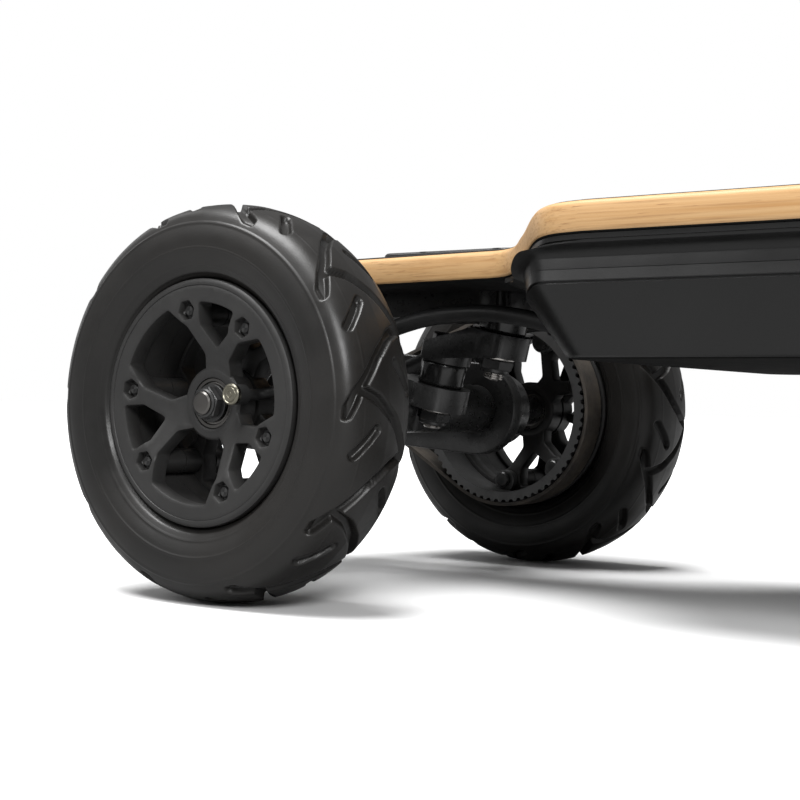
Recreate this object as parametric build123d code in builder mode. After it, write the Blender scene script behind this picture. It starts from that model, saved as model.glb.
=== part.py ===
"""All-terrain electric skateboard: bamboo deck, under-deck battery case, double-kingpin trucks,
four air-filled tyres on split hubs, and two belt-driven rear wheels.

Millimetres. +X runs along the deck, away from the driven trucks, +Z is up, and the floor is at Z = 0.
The origin is on the floor, under the middle of the board.
"""
from build123d import *
import math
import os

os.makedirs("parts", exist_ok=True)

# ---- driving dimensions ----
wheelbase = 760.0
track = 266.1
tyre_radius = 87.5
tyre_width = 50.0
deck_length = 996.0
deck_thickness = 13.0
deck_half_width = 122.5
neck_half_width = 61.0
neck_bottom = 143.5
rail_rise = 12.5
rail_slope = 0.22
concave_start = 42.0
case_bottom = 108.0
kingpin_tilt = 13.0
upper_pin_reach = 47.4
lower_pin_reach = 17.9

# ---- wheel ----
rim_flange_radius = 53.7
rim_flange_face = 20.0
rim_flange_width = 3.0
bead_radius = 49.0
barrel_inside = 45.5
boss_radius = 16.5
boss_face = 12.0
spoke_near = 2.0
spoke_far = 12.0
fork_radius = 22.0
bolt_ring_radius = 41.5
fork_half_angle = 24.0
spoke_start_angle = 76.0
spoke_count = 3
spoke_width = 9.5
rim_bolt_radius = 2.5
rim_bolt_hole = 2.6
rim_bolt_seat = 8.0
rim_nut_radius = 4.1
rim_nut_height = 3.2
bearing_outer = 11.0
bearing_inner = 5.03
bearing_near = 5.0
bearing_far = 11.0

# ---- belt drive ----
pulley_teeth = 66
pinion_teeth = 16
belt_pitch = 5.0
centre_distance = 88.4
motor_rise_angle = 5.0
belt_near = 25.0
belt_far = 40.0
belt_back_gap = 2.3
belt_inside_gap = 0.4
tooth_notch_radius = 1.45
pulley_face_near = 20.3
pulley_face_far = 41.0
motor_radius = 28.0
motor_near = 7.0
motor_far = 64.8
shaft_radius = 4.0

# ---- truck ----
axle_radius = 5.0
running_gap = 0.05
seat_gap = 0.1
beam_radius = 13.0
clamp_seat_radius = 12.0
clamp_near = 65.0
clamp_far = 74.0
sleeve_radius = 8.5
upper_arm_low = 38.0
upper_bush_low = 49.5
upper_bush_high = 61.0
link_plate_low = 28.1
link_plate_high = 37.0
lower_bush_low = 16.1
hanger_ring_low = 4.3
bushing_radius = 11.7
base_thickness = 12.0
base_start = -24.0
base_end = 70.0
base_half_width = 30.0
truck_bolt_radius = 3.0
truck_bolt_rows = (28.0, 70.0)
truck_bolt_side = 22.0

# ---- derived places ----
half_base = wheelbase / 2
axle_height = tyre_radius
hub_offset = track / 2
deck_half_length = deck_length / 2
neck_top = neck_bottom + deck_thickness
pulley_pitch_radius = pulley_teeth * belt_pitch / (2 * math.pi)
pinion_pitch_radius = pinion_teeth * belt_pitch / (2 * math.pi)
tooth_drop = 0.7
tilt_sin = math.sin(math.radians(kingpin_tilt))
tilt_cos = math.cos(math.radians(kingpin_tilt))
motor_reach = centre_distance * math.cos(math.radians(motor_rise_angle))
motor_height = axle_height + centre_distance * math.sin(math.radians(motor_rise_angle))
ends = (("rear", -1), ("front", 1))
sides = (("right", -1), ("left", 1))


def save(part, name):
    part.label = name
    export_step(part, f"parts/{name}.step")


def along(end, inward):
    """X of a point that lies `inward` of the axle line at one end, towards the board's middle."""
    return end * (half_base - inward)


def hub_plane(end, side, out):
    """Plane square to the axle, `out` millimetres outboard of the wheel's middle plane."""
    return Plane(
        origin=(end * half_base, side * (hub_offset + out), axle_height),
        x_dir=(1, 0, 0),
        z_dir=(0, side, 0),
    )


def pin_plane(end, reach, height):
    """Plane square to the kingpins: `reach` inboard of the axle and `height` up the pins' own direction."""
    across = Vector(-end * tilt_cos, 0, -tilt_sin)
    up = Vector(-end * tilt_sin, 0, tilt_cos)
    centre = Vector(end * half_base, 0, axle_height) + across * reach + up * height
    return Plane(origin=centre, x_dir=across, z_dir=up)


def upright_plane(side, out):
    """Upright plane along the board, `out` from the centreline, facing outboard, with its own +Y pointing up."""
    return Plane(origin=(0, side * out, 0), x_dir=(-side, 0, 0), z_dir=(0, side, 0))


def polar(radius, degrees):
    return (radius * math.cos(math.radians(degrees)), radius * math.sin(math.radians(degrees)))


def deck_plan(inset, reach):
    """Half outline of the deck, inset from its edge and cut `reach` from the middle, mirrored twice."""
    neck = neck_half_width - inset
    wide = deck_half_width - inset
    tail_end = min(deck_half_length - inset, reach)
    with BuildSketch() as plan:
        with BuildLine():
            curve = Spline(
                [
                    (half_base - 168, wide),
                    (half_base - 146, wide - 6),
                    (half_base - 121, (neck + wide) / 2 - 4),
                    (half_base - 100, neck + 4),
                    (half_base - 78, neck),
                ],
                tangents=[(1, 0), (1, 0)],
            )
            Line((0, 0), (0, wide))
            Line((0, wide), curve @ 0)
            taper = Line(curve @ 1, (half_base + 60, neck - 9))
            ThreePointArc(taper @ 1, (deck_half_length - inset - 9, neck * 0.6), (deck_half_length - inset, 0))
            Line((deck_half_length - inset, 0), (0, 0))
        make_face()
        if tail_end < deck_half_length - inset:
            with Locations((tail_end / 2, deck_half_width / 2)):
                Rectangle(tail_end, deck_half_width, mode=Mode.INTERSECT)
        mirror(about=Plane.XZ)
        mirror(about=Plane.YZ)
    return plan.sketch


def concave_section(low, high):
    """Cross-section of a layer that follows the deck's concave, from `low` to `high` above its underside."""
    edge = deck_half_width + 6
    edge_rise = rail_rise + 6 * rail_slope
    middle = (concave_start + deck_half_width) / 2
    middle_rise = rail_rise * 0.40
    with BuildSketch(Plane.YZ.offset(-deck_half_length)) as section:
        with BuildLine():
            for height in (neck_bottom + low, neck_bottom + high):
                flat = Line((0, height), (concave_start, height))
                Spline(
                    [flat @ 1, (middle, height + middle_rise), (edge, height + edge_rise)],
                    tangents=[(1, 0), (1, rail_slope)],
                )
            Line((edge, neck_bottom + low + edge_rise), (edge, neck_bottom + high + edge_rise))
            Line((0, neck_bottom + low), (0, neck_bottom + high))
        make_face()
        mirror(about=Plane.YZ)
    return section.sketch


def layer(low, high, inset, reach):
    """A sheet that follows the deck's concave inside the deck's outline."""
    section = concave_section(low, high)
    plan = deck_plan(inset, reach)
    with BuildPart() as sheet:
        extrude(section, amount=deck_length, dir=(1, 0, 0))
        extrude(plan, amount=300, dir=(0, 0, 1), mode=Mode.INTERSECT)
    return sheet.part


def truck_bolt_points():
    """Plan positions of the eight bolts that hold both trucks."""
    points = []
    for _, end in ends:
        for row in truck_bolt_rows:
            for side in (-1, 1):
                points.append((along(end, row), side * truck_bolt_side))
    return points


# ---- deck and what lies on it ----
grip_thickness = 1.2
case_screw_rows = (-205.0, -70.0, 70.0, 205.0)
case_screw_side = 98.0
case_screw_radius = 2.0
case_screw_tip = 155.3
deck_layer = layer(0, deck_thickness, 0, deck_length)
grip_layer = layer(deck_thickness + 0.02, deck_thickness + grip_thickness, 5, deck_length)


def case_screw_points():
    """Plan positions of the screws that hold the case to the deck."""
    return [(x, side * case_screw_side) for x in case_screw_rows for side in (-1, 1)]


with BuildPart() as deck:
    add(deck_layer)
    with Locations([(x, y, neck_bottom) for x, y in truck_bolt_points()]):
        Cylinder(truck_bolt_radius + 0.2, 60, mode=Mode.SUBTRACT)
    with BuildSketch(Plane.XY.offset(neck_bottom)):
        with Locations(case_screw_points()):
            Circle(case_screw_radius)
    extrude(amount=case_screw_tip - neck_bottom, mode=Mode.SUBTRACT)
save(deck.part, "deck")

with BuildPart() as grip_tape:
    add(grip_layer)
    with Locations([(x, y, neck_top) for x, y in truck_bolt_points()]):
        Cylinder(truck_bolt_radius + 0.2, 20, mode=Mode.SUBTRACT)
save(grip_tape.part, "grip_tape")

plate_start = 2.0
plate_end = 80.0
plate_half_width = 28.0
plate_height = 5.6
plate_floor = neck_top + grip_thickness + seat_gap
bolt_head_radius = 5.5
bolt_head_height = 2.4
bolt_top = plate_floor + plate_height
with BuildPart() as top_plates:
    with BuildSketch(Plane.XY.offset(plate_floor)):
        with Locations([(along(end, (plate_start + plate_end) / 2), 0) for _, end in ends]):
            RectangleRounded(plate_end - plate_start, 2 * plate_half_width, 7)
    extrude(amount=plate_height)
    chamfer(top_plates.faces().filter_by(Axis.Z).group_by(Axis.Z)[-1].edges(), 1.0)
    with Locations([(x, y, plate_floor) for x, y in truck_bolt_points()]):
        Cylinder(truck_bolt_radius + 0.2, 40, mode=Mode.SUBTRACT)
    with Locations([(x, y, bolt_top) for x, y in truck_bolt_points()]):
        Cylinder(bolt_head_radius + 0.2, 2 * bolt_head_height, mode=Mode.SUBTRACT)
save(top_plates.part, "top_plates")

# ---- trucks' bolts ----
bolt_tip_gap = 1.0
base_floor = neck_bottom - base_thickness
with BuildPart() as truck_bolts:
    with BuildSketch(Plane.XY.offset(bolt_top)):
        with Locations(truck_bolt_points()):
            Circle(bolt_head_radius)
    extrude(amount=-bolt_head_height)
    with BuildSketch(Plane.XY.offset(bolt_top - bolt_head_height)):
        with Locations(truck_bolt_points()):
            Circle(truck_bolt_radius)
    extrude(amount=base_floor + bolt_tip_gap - bolt_top + bolt_head_height)
save(truck_bolts.part, "truck_bolts")

# ---- battery case ----
case_crease = 137.0
case_waist = 147.0
case_wall = 3.0
case_flange_reach = half_base - 96
button_x = 150.0
port_x = 186.0
control_height = 123.0
button_radius = 7.0
port_radius = 8.0
case_screw_head = 3.7
flange_thickness = 4.5


def case_block(inset):
    """Case body: flat bottom, sides that lean out to a crease, then in to a waist below the rail."""
    levels = (
        (case_bottom + inset, half_base - 162, 112.0),
        (case_crease, half_base - 144, 116.5),
        (case_waist, half_base - 140, 114.5),
        (case_waist + 14, half_base - 136, 119.5),
    )
    with BuildPart() as block:
        for low, high in zip(levels, levels[1:]):
            for height, half_length, half_width in (low, high):
                with BuildSketch(Plane.XY.offset(height)):
                    RectangleRounded(2 * (half_length - inset), 2 * (half_width - inset), 16 - inset)
            loft()
    return block.part


case_outside = case_block(0)
case_inside = case_block(case_wall)
case_flange = layer(-flange_thickness, 0, 1.2, case_flange_reach)
above_deck_underside = layer(-seat_gap, 80, -5, deck_length)

with BuildPart() as enclosure:
    add(case_outside)
    add(case_flange)
    add(case_inside, mode=Mode.SUBTRACT)
    add(above_deck_underside, mode=Mode.SUBTRACT)
    with Locations([(x, y, case_bottom) for x, y in case_screw_points()]):
        Cylinder(case_screw_radius + 0.2, 100, mode=Mode.SUBTRACT)
        Cylinder(case_screw_head + 0.3, 2.4, mode=Mode.SUBTRACT)
    with BuildSketch(upright_plane(1, 100)):
        with Locations((-button_x, control_height)):
            Circle(button_radius + 0.3)
        with Locations((-port_x, control_height)):
            Circle(port_radius)
    extrude(amount=30, mode=Mode.SUBTRACT)
save(enclosure.part, "enclosure")

with BuildPart() as case_screws:
    with BuildSketch(Plane.XY.offset(case_bottom + 0.2)):
        with Locations(case_screw_points()):
            Circle(case_screw_head)
    extrude(amount=1.0)
    with BuildSketch(Plane.XY.offset(case_bottom + 1.2)):
        with Locations(case_screw_points()):
            Circle(case_screw_radius)
    extrude(amount=case_screw_tip - case_bottom - 1.3)
save(case_screws.part, "case_screws")

pack_start = -212.0
pack_length = 300.0
with BuildPart() as battery_pack:
    with BuildSketch(Plane.XY.offset(case_bottom + case_wall + 1)):
        with Locations((pack_start + pack_length / 2, 0)):
            RectangleRounded(pack_length, 172, 8)
    extrude(amount=30)
    fillet(battery_pack.edges().group_by(Axis.Z)[-1], 3)
save(battery_pack.part, "battery_pack")

with BuildPart() as motor_controller:
    with BuildSketch(Plane.XY.offset(case_bottom + case_wall + 1)):
        with Locations((148, 0)):
            RectangleRounded(96, 150, 5)
    extrude(amount=14)
    with BuildSketch(Plane.XY.offset(case_bottom + case_wall + 15)):
        with Locations((148, 0)):
            with GridLocations(0, 12, 1, 11):
                Rectangle(90, 4)
    extrude(amount=9)
save(motor_controller.part, "motor_controller")

with BuildPart() as power_button:
    with BuildSketch(upright_plane(1, 107)):
        with Locations((-button_x, control_height)):
            Circle(button_radius)
    extrude(amount=9.5)
    fillet(power_button.edges().group_by(Axis.Y)[-1], 1)
save(power_button.part, "power_button")

with BuildPart() as charge_port:
    with BuildSketch(upright_plane(1, 104)):
        with Locations((-port_x, control_height)):
            Circle(port_radius - 0.05)
            Circle(4, mode=Mode.SUBTRACT)
    extrude(amount=10.4)
    with BuildSketch(upright_plane(1, 104)):
        with Locations((-port_x, control_height)):
            Circle(4.5)
    extrude(amount=-4)
    with BuildSketch(upright_plane(1, 104)):
        with Locations((-port_x, control_height)):
            Circle(1.2)
    extrude(amount=7)
save(charge_port.part, "charge_port")

# ---- trucks ----
kingpin_head_radius = 7.8
seat_radius = 16.0
stud_grip = 6.0
lock_nut_radius = 8.6
lock_nut_height = 7.0
pin_washer = 1.3
pin_washer_radius = 9.0
axle_end = 18.6
axle_root = 22.0
axle_washer = 1.2
axle_nut_radius = 8.9


def hex_prism(plane, radius, amount):
    with BuildPart() as prism:
        with BuildSketch(plane):
            RegularPolygon(radius, 6)
        extrude(amount=amount)
    return prism.part


def ring(plane, outer, inner, amount):
    with BuildPart() as band:
        with BuildSketch(plane):
            Circle(outer)
            Circle(inner, mode=Mode.SUBTRACT)
        extrude(amount=amount)
    return band.part


def baseplate(end):
    """Flat plate under the neck with a tilted round seat for the upper bushing."""
    bore = pin_plane(end, upper_pin_reach, upper_bush_high)
    with BuildPart() as base:
        with BuildSketch(Plane.XY.offset(base_floor)):
            with Locations((along(end, (base_start + base_end) / 2), 0)):
                RectangleRounded(base_end - base_start, 2 * base_half_width, 8)
        extrude(amount=base_thickness - seat_gap)
        with BuildSketch(bore):
            Circle(seat_radius)
        extrude(amount=24)
        with BuildSketch(bore):
            Circle(bushing_radius + 1.8)
        extrude(amount=-16, mode=Mode.SUBTRACT)
        with Locations((along(end, 40), 0, neck_bottom - seat_gap + 30)):
            Box(200, 80, 60, mode=Mode.SUBTRACT)
        with BuildSketch(bore):
            Circle(axle_radius)
        extrude(amount=stud_grip, mode=Mode.SUBTRACT)
        with Locations([(x, y, base_floor) for x, y in truck_bolt_points() if x * end > 0]):
            Cylinder(truck_bolt_radius + 0.2, 60, mode=Mode.SUBTRACT)
    return base.part


def upper_kingpin(end):
    """Stud from the baseplate's seat down through the bushing and the link, with its washer and lock nut."""
    tip = 26.0
    washer_top = upper_arm_low - seat_gap
    washer_face = pin_plane(end, upper_pin_reach, washer_top)
    nut_face = pin_plane(end, upper_pin_reach, washer_top - pin_washer)
    washer = ring(washer_face, pin_washer_radius, axle_radius, -pin_washer)
    nut = hex_prism(nut_face, lock_nut_radius, -lock_nut_height)
    with BuildPart() as pin:
        with BuildSketch(pin_plane(end, upper_pin_reach, tip)):
            Circle(axle_radius)
        extrude(amount=upper_bush_high + stud_grip - 1 - tip)
        add([washer, nut])
    return pin.part


def lower_kingpin(end):
    """Bolt through the link, the lower bushing and the hanger's ring, with its head, washer and lock nut."""
    tip = -6.0
    washer_top = hanger_ring_low - seat_gap
    washer_face = pin_plane(end, lower_pin_reach, washer_top)
    nut_face = pin_plane(end, lower_pin_reach, washer_top - pin_washer)
    head = hex_prism(pin_plane(end, lower_pin_reach, link_plate_high), kingpin_head_radius, 5)
    washer = ring(washer_face, pin_washer_radius, axle_radius, -pin_washer)
    nut = hex_prism(nut_face, lock_nut_radius, -lock_nut_height)
    with BuildPart() as pin:
        with BuildSketch(pin_plane(end, lower_pin_reach, tip)):
            Circle(axle_radius)
        extrude(amount=link_plate_high + 2 - tip)
        add([head, washer, nut])
    return pin.part


def bushing(end, reach, low, high):
    """Barrel-shaped urethane bushing."""
    with BuildPart() as bush:
        with BuildSketch(pin_plane(end, reach, low + seat_gap)):
            Circle(bushing_radius)
            Circle(axle_radius + 0.3, mode=Mode.SUBTRACT)
        extrude(amount=high - low - 2 * seat_gap)
        rims = bush.edges().filter_by(GeomType.CIRCLE).filter_by(lambda e: e.radius > bushing_radius - 1)
        fillet(rims, 2)
    return bush.part


def link(end):
    """Middle arm: an upper ring on the first kingpin and a lower plate that carries the second."""
    cheek_near = 10.4
    cheek_far = 13.2
    arm_high = upper_bush_low - seat_gap
    with BuildPart() as arm:
        with BuildSketch(pin_plane(end, upper_pin_reach, upper_arm_low)):
            Circle(14.5)
        extrude(amount=arm_high - upper_arm_low)
        with BuildSketch(pin_plane(end, lower_pin_reach, link_plate_low)):
            Circle(12.8)
        extrude(amount=link_plate_high - link_plate_low)
        for side in (-1, 1):
            corner = pin_plane(end, 0, 0)
            face = Plane(
                origin=corner.origin + Vector(0, side * cheek_near, 0),
                x_dir=corner.x_dir,
                z_dir=(0, side, 0),
            )
            flip = 1 if face.y_dir.Z > 0 else -1
            with BuildSketch(face):
                with BuildLine():
                    Polyline(
                        [
                            (lower_pin_reach - 6, flip * link_plate_low),
                            (upper_pin_reach + 8, flip * upper_arm_low),
                            (upper_pin_reach + 8, flip * arm_high),
                            (upper_pin_reach - 10, flip * arm_high),
                            (lower_pin_reach - 6, flip * link_plate_high),
                        ],
                        close=True,
                    )
                make_face()
            extrude(amount=cheek_far - cheek_near)
        with BuildSketch(pin_plane(end, upper_pin_reach, 24)):
            Circle(9.4)
        extrude(amount=upper_arm_low - 24, mode=Mode.SUBTRACT)
        with BuildSketch(pin_plane(end, upper_pin_reach, 24)):
            Circle(axle_radius + running_gap)
        extrude(amount=40, mode=Mode.SUBTRACT)
        with BuildSketch(pin_plane(end, lower_pin_reach, 14)):
            Circle(axle_radius)
        extrude(amount=40, mode=Mode.SUBTRACT)
    return arm.part


def hanger(end):
    """Axle carrier: a round beam, a ring on the lower kingpin, and a stepped sleeve out to each hub."""
    ring_high = lower_bush_low - seat_gap
    with BuildPart() as carrier:
        with BuildSketch(upright_plane(1, -clamp_near)):
            with Locations((-end * half_base, axle_height)):
                Circle(beam_radius)
        extrude(amount=2 * clamp_near)
        with BuildSketch(pin_plane(end, lower_pin_reach, hanger_ring_low)):
            Circle(15.5)
            with Locations((-lower_pin_reach / 2, 0)):
                Rectangle(lower_pin_reach + 16, 26)
        extrude(amount=ring_high - hanger_ring_low)
        for side in (-1, 1):
            with BuildSketch(upright_plane(side, clamp_near)):
                with Locations((-side * end * half_base, axle_height)):
                    Circle(clamp_seat_radius)
            extrude(amount=clamp_far - clamp_near)
            with BuildSketch(upright_plane(side, clamp_far)):
                with Locations((-side * end * half_base, axle_height)):
                    Circle(sleeve_radius)
            extrude(amount=hub_offset - bearing_far - seat_gap - clamp_far)
        with BuildSketch(pin_plane(end, lower_pin_reach, -30)):
            Circle(10.2)
        extrude(amount=30 + hanger_ring_low, mode=Mode.SUBTRACT)
        with BuildSketch(pin_plane(end, lower_pin_reach, -30)):
            Circle(axle_radius + running_gap)
        extrude(amount=60, mode=Mode.SUBTRACT)
        for side in (-1, 1):
            with BuildSketch(hub_plane(end, side, 0)):
                Circle(axle_radius)
            extrude(amount=axle_root - hub_offset, mode=Mode.SUBTRACT)
    return carrier.part


def axles(end):
    """Two hardened axles, each with its outer washer and hex nut."""
    washer_face = bearing_far + seat_gap
    fasteners = []
    for side in (-1, 1):
        fasteners.append(ring(hub_plane(end, side, washer_face), 8.4, axle_radius, axle_washer))
        fasteners.append(hex_prism(hub_plane(end, side, washer_face + axle_washer), axle_nut_radius, 5))
    with BuildPart() as shafts:
        for side in (-1, 1):
            with BuildSketch(hub_plane(end, side, axle_end)):
                Circle(axle_radius)
            extrude(amount=axle_root - hub_offset - axle_end)
        add(fasteners)
    return shafts.part


for end_name, end in ends:
    save(baseplate(end), f"{end_name}_baseplate")
    save(upper_kingpin(end), f"{end_name}_upper_kingpin")
    save(lower_kingpin(end), f"{end_name}_lower_kingpin")
    save(bushing(end, upper_pin_reach, upper_bush_low, upper_bush_high), f"{end_name}_upper_bushing")
    save(bushing(end, lower_pin_reach, lower_bush_low, link_plate_low), f"{end_name}_lower_bushing")
    save(link(end), f"{end_name}_link")
    save(hanger(end), f"{end_name}_hanger")
    save(axles(end), f"{end_name}_axles")


# ---- wheels ----
tyre_shoulder = 20.5
tube_gap = 0.3
bead_near = 11.5
bead_far = 16.7
valve_angle = 12.0
valve_reach = 19.0
valve_tip = 19.5


def tyre():
    """Tyre section: two beads, round sidewalls and a shallow crown, spun about the axle."""
    half = tyre_width / 2
    shoulder_drop = tyre_radius - 83
    crown_radius = (tyre_shoulder ** 2 + shoulder_drop ** 2) / (2 * shoulder_drop)
    with BuildPart() as casing:
        with BuildSketch(Plane.XZ):
            with BuildLine():
                seat = Polyline(
                    [(49.3, 0), (49.3, bead_far), (53.9, bead_far), (54.3, 19.4)],
                )
                wall = ThreePointArc(seat @ 1, (69.5, half), (83, tyre_shoulder))
                crown = RadiusArc(wall @ 1, (tyre_radius, 0), crown_radius)
                Line(crown @ 1, (49.3, 0))
            make_face()
            with Locations((69.5, 0)):
                Ellipse(13.5, 21, mode=Mode.SUBTRACT)
            with Locations((55, 0)):
                Rectangle(16, 2 * bead_near, mode=Mode.SUBTRACT)
            mirror(about=Plane.XZ)
        revolve(axis=Axis.Z)
    return casing.part


def swollen_ring(thinner):
    """Solid ring of oval section that fills the tyre, less a margin."""
    with BuildPart() as swollen:
        with BuildSketch(Plane.XZ):
            with Locations((69.5, 0)):
                Ellipse(13.5 - thinner, 21 - thinner)
        revolve(axis=Axis.Z)
    return swollen.part


def inner_tube():
    """Air tube in the tyre, with its bent valve stem and cap, which stand by the boss of the outer hub."""
    stem_x, stem_y = polar(valve_reach, valve_angle)
    foot_x, foot_y = polar(69.5 - 13.5 + tube_gap - seat_gap, valve_angle)
    with BuildPart() as tube:
        add(tube_outside)
        add(tube_inside, mode=Mode.SUBTRACT)
        with BuildLine() as stem_path:
            FilletPolyline(
                [(foot_x, foot_y, 0), (stem_x, stem_y, 0), (stem_x, stem_y, 12)],
                radius=6,
            )
        with BuildSketch(Plane(origin=stem_path.line @ 0, z_dir=stem_path.line % 0)):
            Circle(2.6)
        sweep(path=stem_path.line)
        with BuildSketch(Plane.XY.offset(12)):
            with Locations((stem_x, stem_y)):
                Circle(4.3)
        extrude(amount=valve_tip - 12)
    return tube.part


def spoke_pattern():
    """Three forked spokes between the boss and the rim: each splits towards two bolt seats."""
    with BuildSketch() as pattern:
        Circle(barrel_inside + 1)
        Circle(barrel_inside - 1.5, mode=Mode.SUBTRACT)
        Circle(boss_radius)
        for number in range(spoke_count):
            angle = spoke_start_angle + number * 360 / spoke_count
            Rectangle(fork_radius, spoke_width, rotation=angle, align=(Align.MIN, Align.CENTER))
            for turn in (-fork_half_angle, fork_half_angle):
                fork = Vector(*polar(fork_radius - 3, angle))
                branch = Vector(*polar(barrel_inside, angle + turn)) - fork
                lean = math.degrees(math.atan2(branch.Y, branch.X))
                with Locations(fork):
                    Rectangle(branch.length, spoke_width, rotation=lean, align=(Align.MIN, Align.CENTER))
    return pattern.sketch


def bolt_points():
    points = []
    for number in range(spoke_count):
        for turn in (-fork_half_angle, fork_half_angle):
            points.append(polar(bolt_ring_radius, spoke_start_angle + number * 360 / spoke_count + turn))
    return points


def rim(pattern):
    """Half hub: a barrel with a flange that holds the tyre's bead, forked spokes and a bearing boss."""
    with BuildPart() as half:
        with BuildSketch(Plane.XZ):
            with BuildLine():
                Polyline(
                    [
                        (barrel_inside, 0.05),
                        (bead_radius, 0.05),
                        (bead_radius, rim_flange_face - rim_flange_width),
                        (rim_flange_radius, rim_flange_face - rim_flange_width),
                        (rim_flange_radius, rim_flange_face - 1),
                        (rim_flange_radius - 1, rim_flange_face),
                        (barrel_inside, rim_flange_face - 2),
                    ],
                    close=True,
                )
            make_face()
        revolve(axis=Axis.Z)
        with BuildSketch(Plane.XY.offset(spoke_near)):
            add(pattern)
        extrude(amount=spoke_far - spoke_near)
        with BuildSketch(Plane.XY.offset(0.05)):
            Circle(boss_radius)
            with Locations(bolt_points()):
                Circle(4.6)
        extrude(amount=boss_face - 0.05)
        with BuildSketch():
            Circle(8.6)
            with Locations(bolt_points()):
                Circle(rim_bolt_hole)
        extrude(amount=20, mode=Mode.SUBTRACT)
        with BuildSketch(Plane.XY.offset(bearing_near)):
            Circle(bearing_outer)
        extrude(amount=20, mode=Mode.SUBTRACT)
        with BuildSketch(Plane.XY.offset(rim_bolt_seat)):
            with Locations(bolt_points()):
                Circle(rim_nut_radius + seat_gap)
        extrude(amount=20, mode=Mode.SUBTRACT)
    return half.part


def valve_clearance(part):
    """Cuts the passage for the valve stem through half a hub's barrel."""
    foot = polar(51.0, valve_angle)
    with BuildPart() as cut:
        add(part)
        with BuildSketch(Plane(origin=(foot[0], foot[1], 0), z_dir=(-foot[0], -foot[1], 0)).offset(-8)):
            Circle(3.2)
        extrude(amount=40, mode=Mode.SUBTRACT)
    return cut.part


def bearing_rings():
    """Outer race, shield and inner race of both bearings, and the spacer between them."""
    rings = []
    for flip in (-1, 1):
        face = Plane.XY.offset(flip * bearing_near)
        width = flip * (bearing_far - bearing_near)
        rings.append(ring(face, bearing_outer, 9.2, width))
        rings.append(ring(face, 7.0, bearing_inner, width))
        rings.append(ring(face.offset(flip * 0.6), 9.1, 7.1, width - flip * 1.2))
    spacer_face = Plane.XY.offset(seat_gap - bearing_near)
    rings.append(ring(spacer_face, 6.8, bearing_inner, 2 * (bearing_near - seat_gap)))
    return rings


def hub_hardware(nut_face, shank_end):
    """Bearings, spacer, and the six bolts through the hub; each nut starts `nut_face` inboard of the middle."""
    rings = bearing_rings()
    with BuildPart() as hardware:
        add(rings)
        with BuildSketch(Plane.XY.offset(rim_bolt_seat)):
            with Locations(bolt_points()):
                RegularPolygon(rim_nut_radius, 6)
        extrude(amount=rim_nut_height)
        with BuildSketch(Plane.XY.offset(rim_bolt_seat)):
            with Locations(bolt_points()):
                Circle(rim_bolt_radius)
        extrude(amount=-rim_bolt_seat - shank_end)
        with BuildSketch(Plane.XY.offset(-nut_face)):
            with Locations(bolt_points()):
                RegularPolygon(rim_nut_radius, 6)
        extrude(amount=-rim_nut_height)
    return hardware.part


def drive_pulley(pattern_points):
    """Toothed ring with six lugs, bolted to the inboard half of a driven hub."""
    tooth_radius = pulley_pitch_radius - tooth_drop
    with BuildPart() as pulley:
        with BuildSketch(Plane.XY.offset(-pulley_face_near)):
            Circle(tooth_radius)
            Circle(46.2, mode=Mode.SUBTRACT)
            with PolarLocations(tooth_radius, pulley_teeth):
                Circle(tooth_notch_radius, mode=Mode.SUBTRACT)
        extrude(amount=pulley_face_near - pulley_face_far)
        with BuildSketch(Plane.XY.offset(-pulley_face_near)):
            with Locations(pattern_points):
                Circle(6.2)
            with Locations(pattern_points):
                Circle(rim_bolt_hole, mode=Mode.SUBTRACT)
        extrude(amount=-4.7)
    return pulley.part


tube_outside = swollen_ring(tube_gap)
tube_inside = swollen_ring(tube_gap + 1.5)
tyre_part = tyre()
tube_part = inner_tube()
spokes = spoke_pattern()
half_rim = rim(spokes)
outer_rim = valve_clearance(half_rim)
inner_rim = valve_clearance(half_rim.mirror(Plane.XY))
hardware_plain = hub_hardware(rim_bolt_seat, 11.5)
hardware_driven = hub_hardware(25.2, 25.2)
pulley_part = drive_pulley(bolt_points())


def settle(part, end, side):
    """Moves a wheel piece modelled about the Z axis, with its outboard face up, to its hub."""
    return hub_plane(end, side, 0).location * part


for end_name, end in ends:
    for side_name, side in sides:
        corner = f"{end_name}_{side_name}"
        save(settle(tyre_part, end, side), f"{corner}_tyre")
        save(settle(tube_part, end, side), f"{corner}_inner_tube")
        save(settle(outer_rim, end, side), f"{corner}_outer_rim")
        save(settle(inner_rim, end, side), f"{corner}_inner_rim")
        save(settle(hardware_driven if end < 0 else hardware_plain, end, side), f"{corner}_hub_hardware")

# ---- belt drive, on the rear truck only ----
mount_thickness = clamp_far - clamp_near
boss_end = 90.0


def drive_plane(side, out):
    """Plane square to the rear axle, `out` from the centreline, with its own +Y turned to point up."""
    return Plane(
        origin=(-half_base, side * out, axle_height),
        x_dir=(-side, 0, 0),
        z_dir=(0, side, 0),
    )


def drive_spot(side):
    """The motor's axis in a drive plane."""
    return (side * motor_reach, motor_height - axle_height)


def loop_outline(around_pulley, around_pinion, spot):
    """Belt-shaped face: two circles and their outer tangents."""
    with BuildSketch() as outline:
        Circle(around_pulley)
        with Locations(spot):
            Circle(around_pinion)
        make_hull()
    return outline.sketch


def belt(side):
    spot = drive_spot(side)
    outside = loop_outline(
        pulley_pitch_radius - tooth_drop + belt_back_gap,
        pinion_pitch_radius - tooth_drop + belt_back_gap,
        spot,
    )
    inside = loop_outline(
        pulley_pitch_radius - tooth_drop + belt_inside_gap,
        pinion_pitch_radius - tooth_drop + belt_inside_gap,
        spot,
    )
    with BuildPart() as band:
        with BuildSketch(drive_plane(side, hub_offset - belt_far)):
            add(outside)
            add(inside, mode=Mode.SUBTRACT)
        extrude(amount=belt_far - belt_near)
    return band.part


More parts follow.
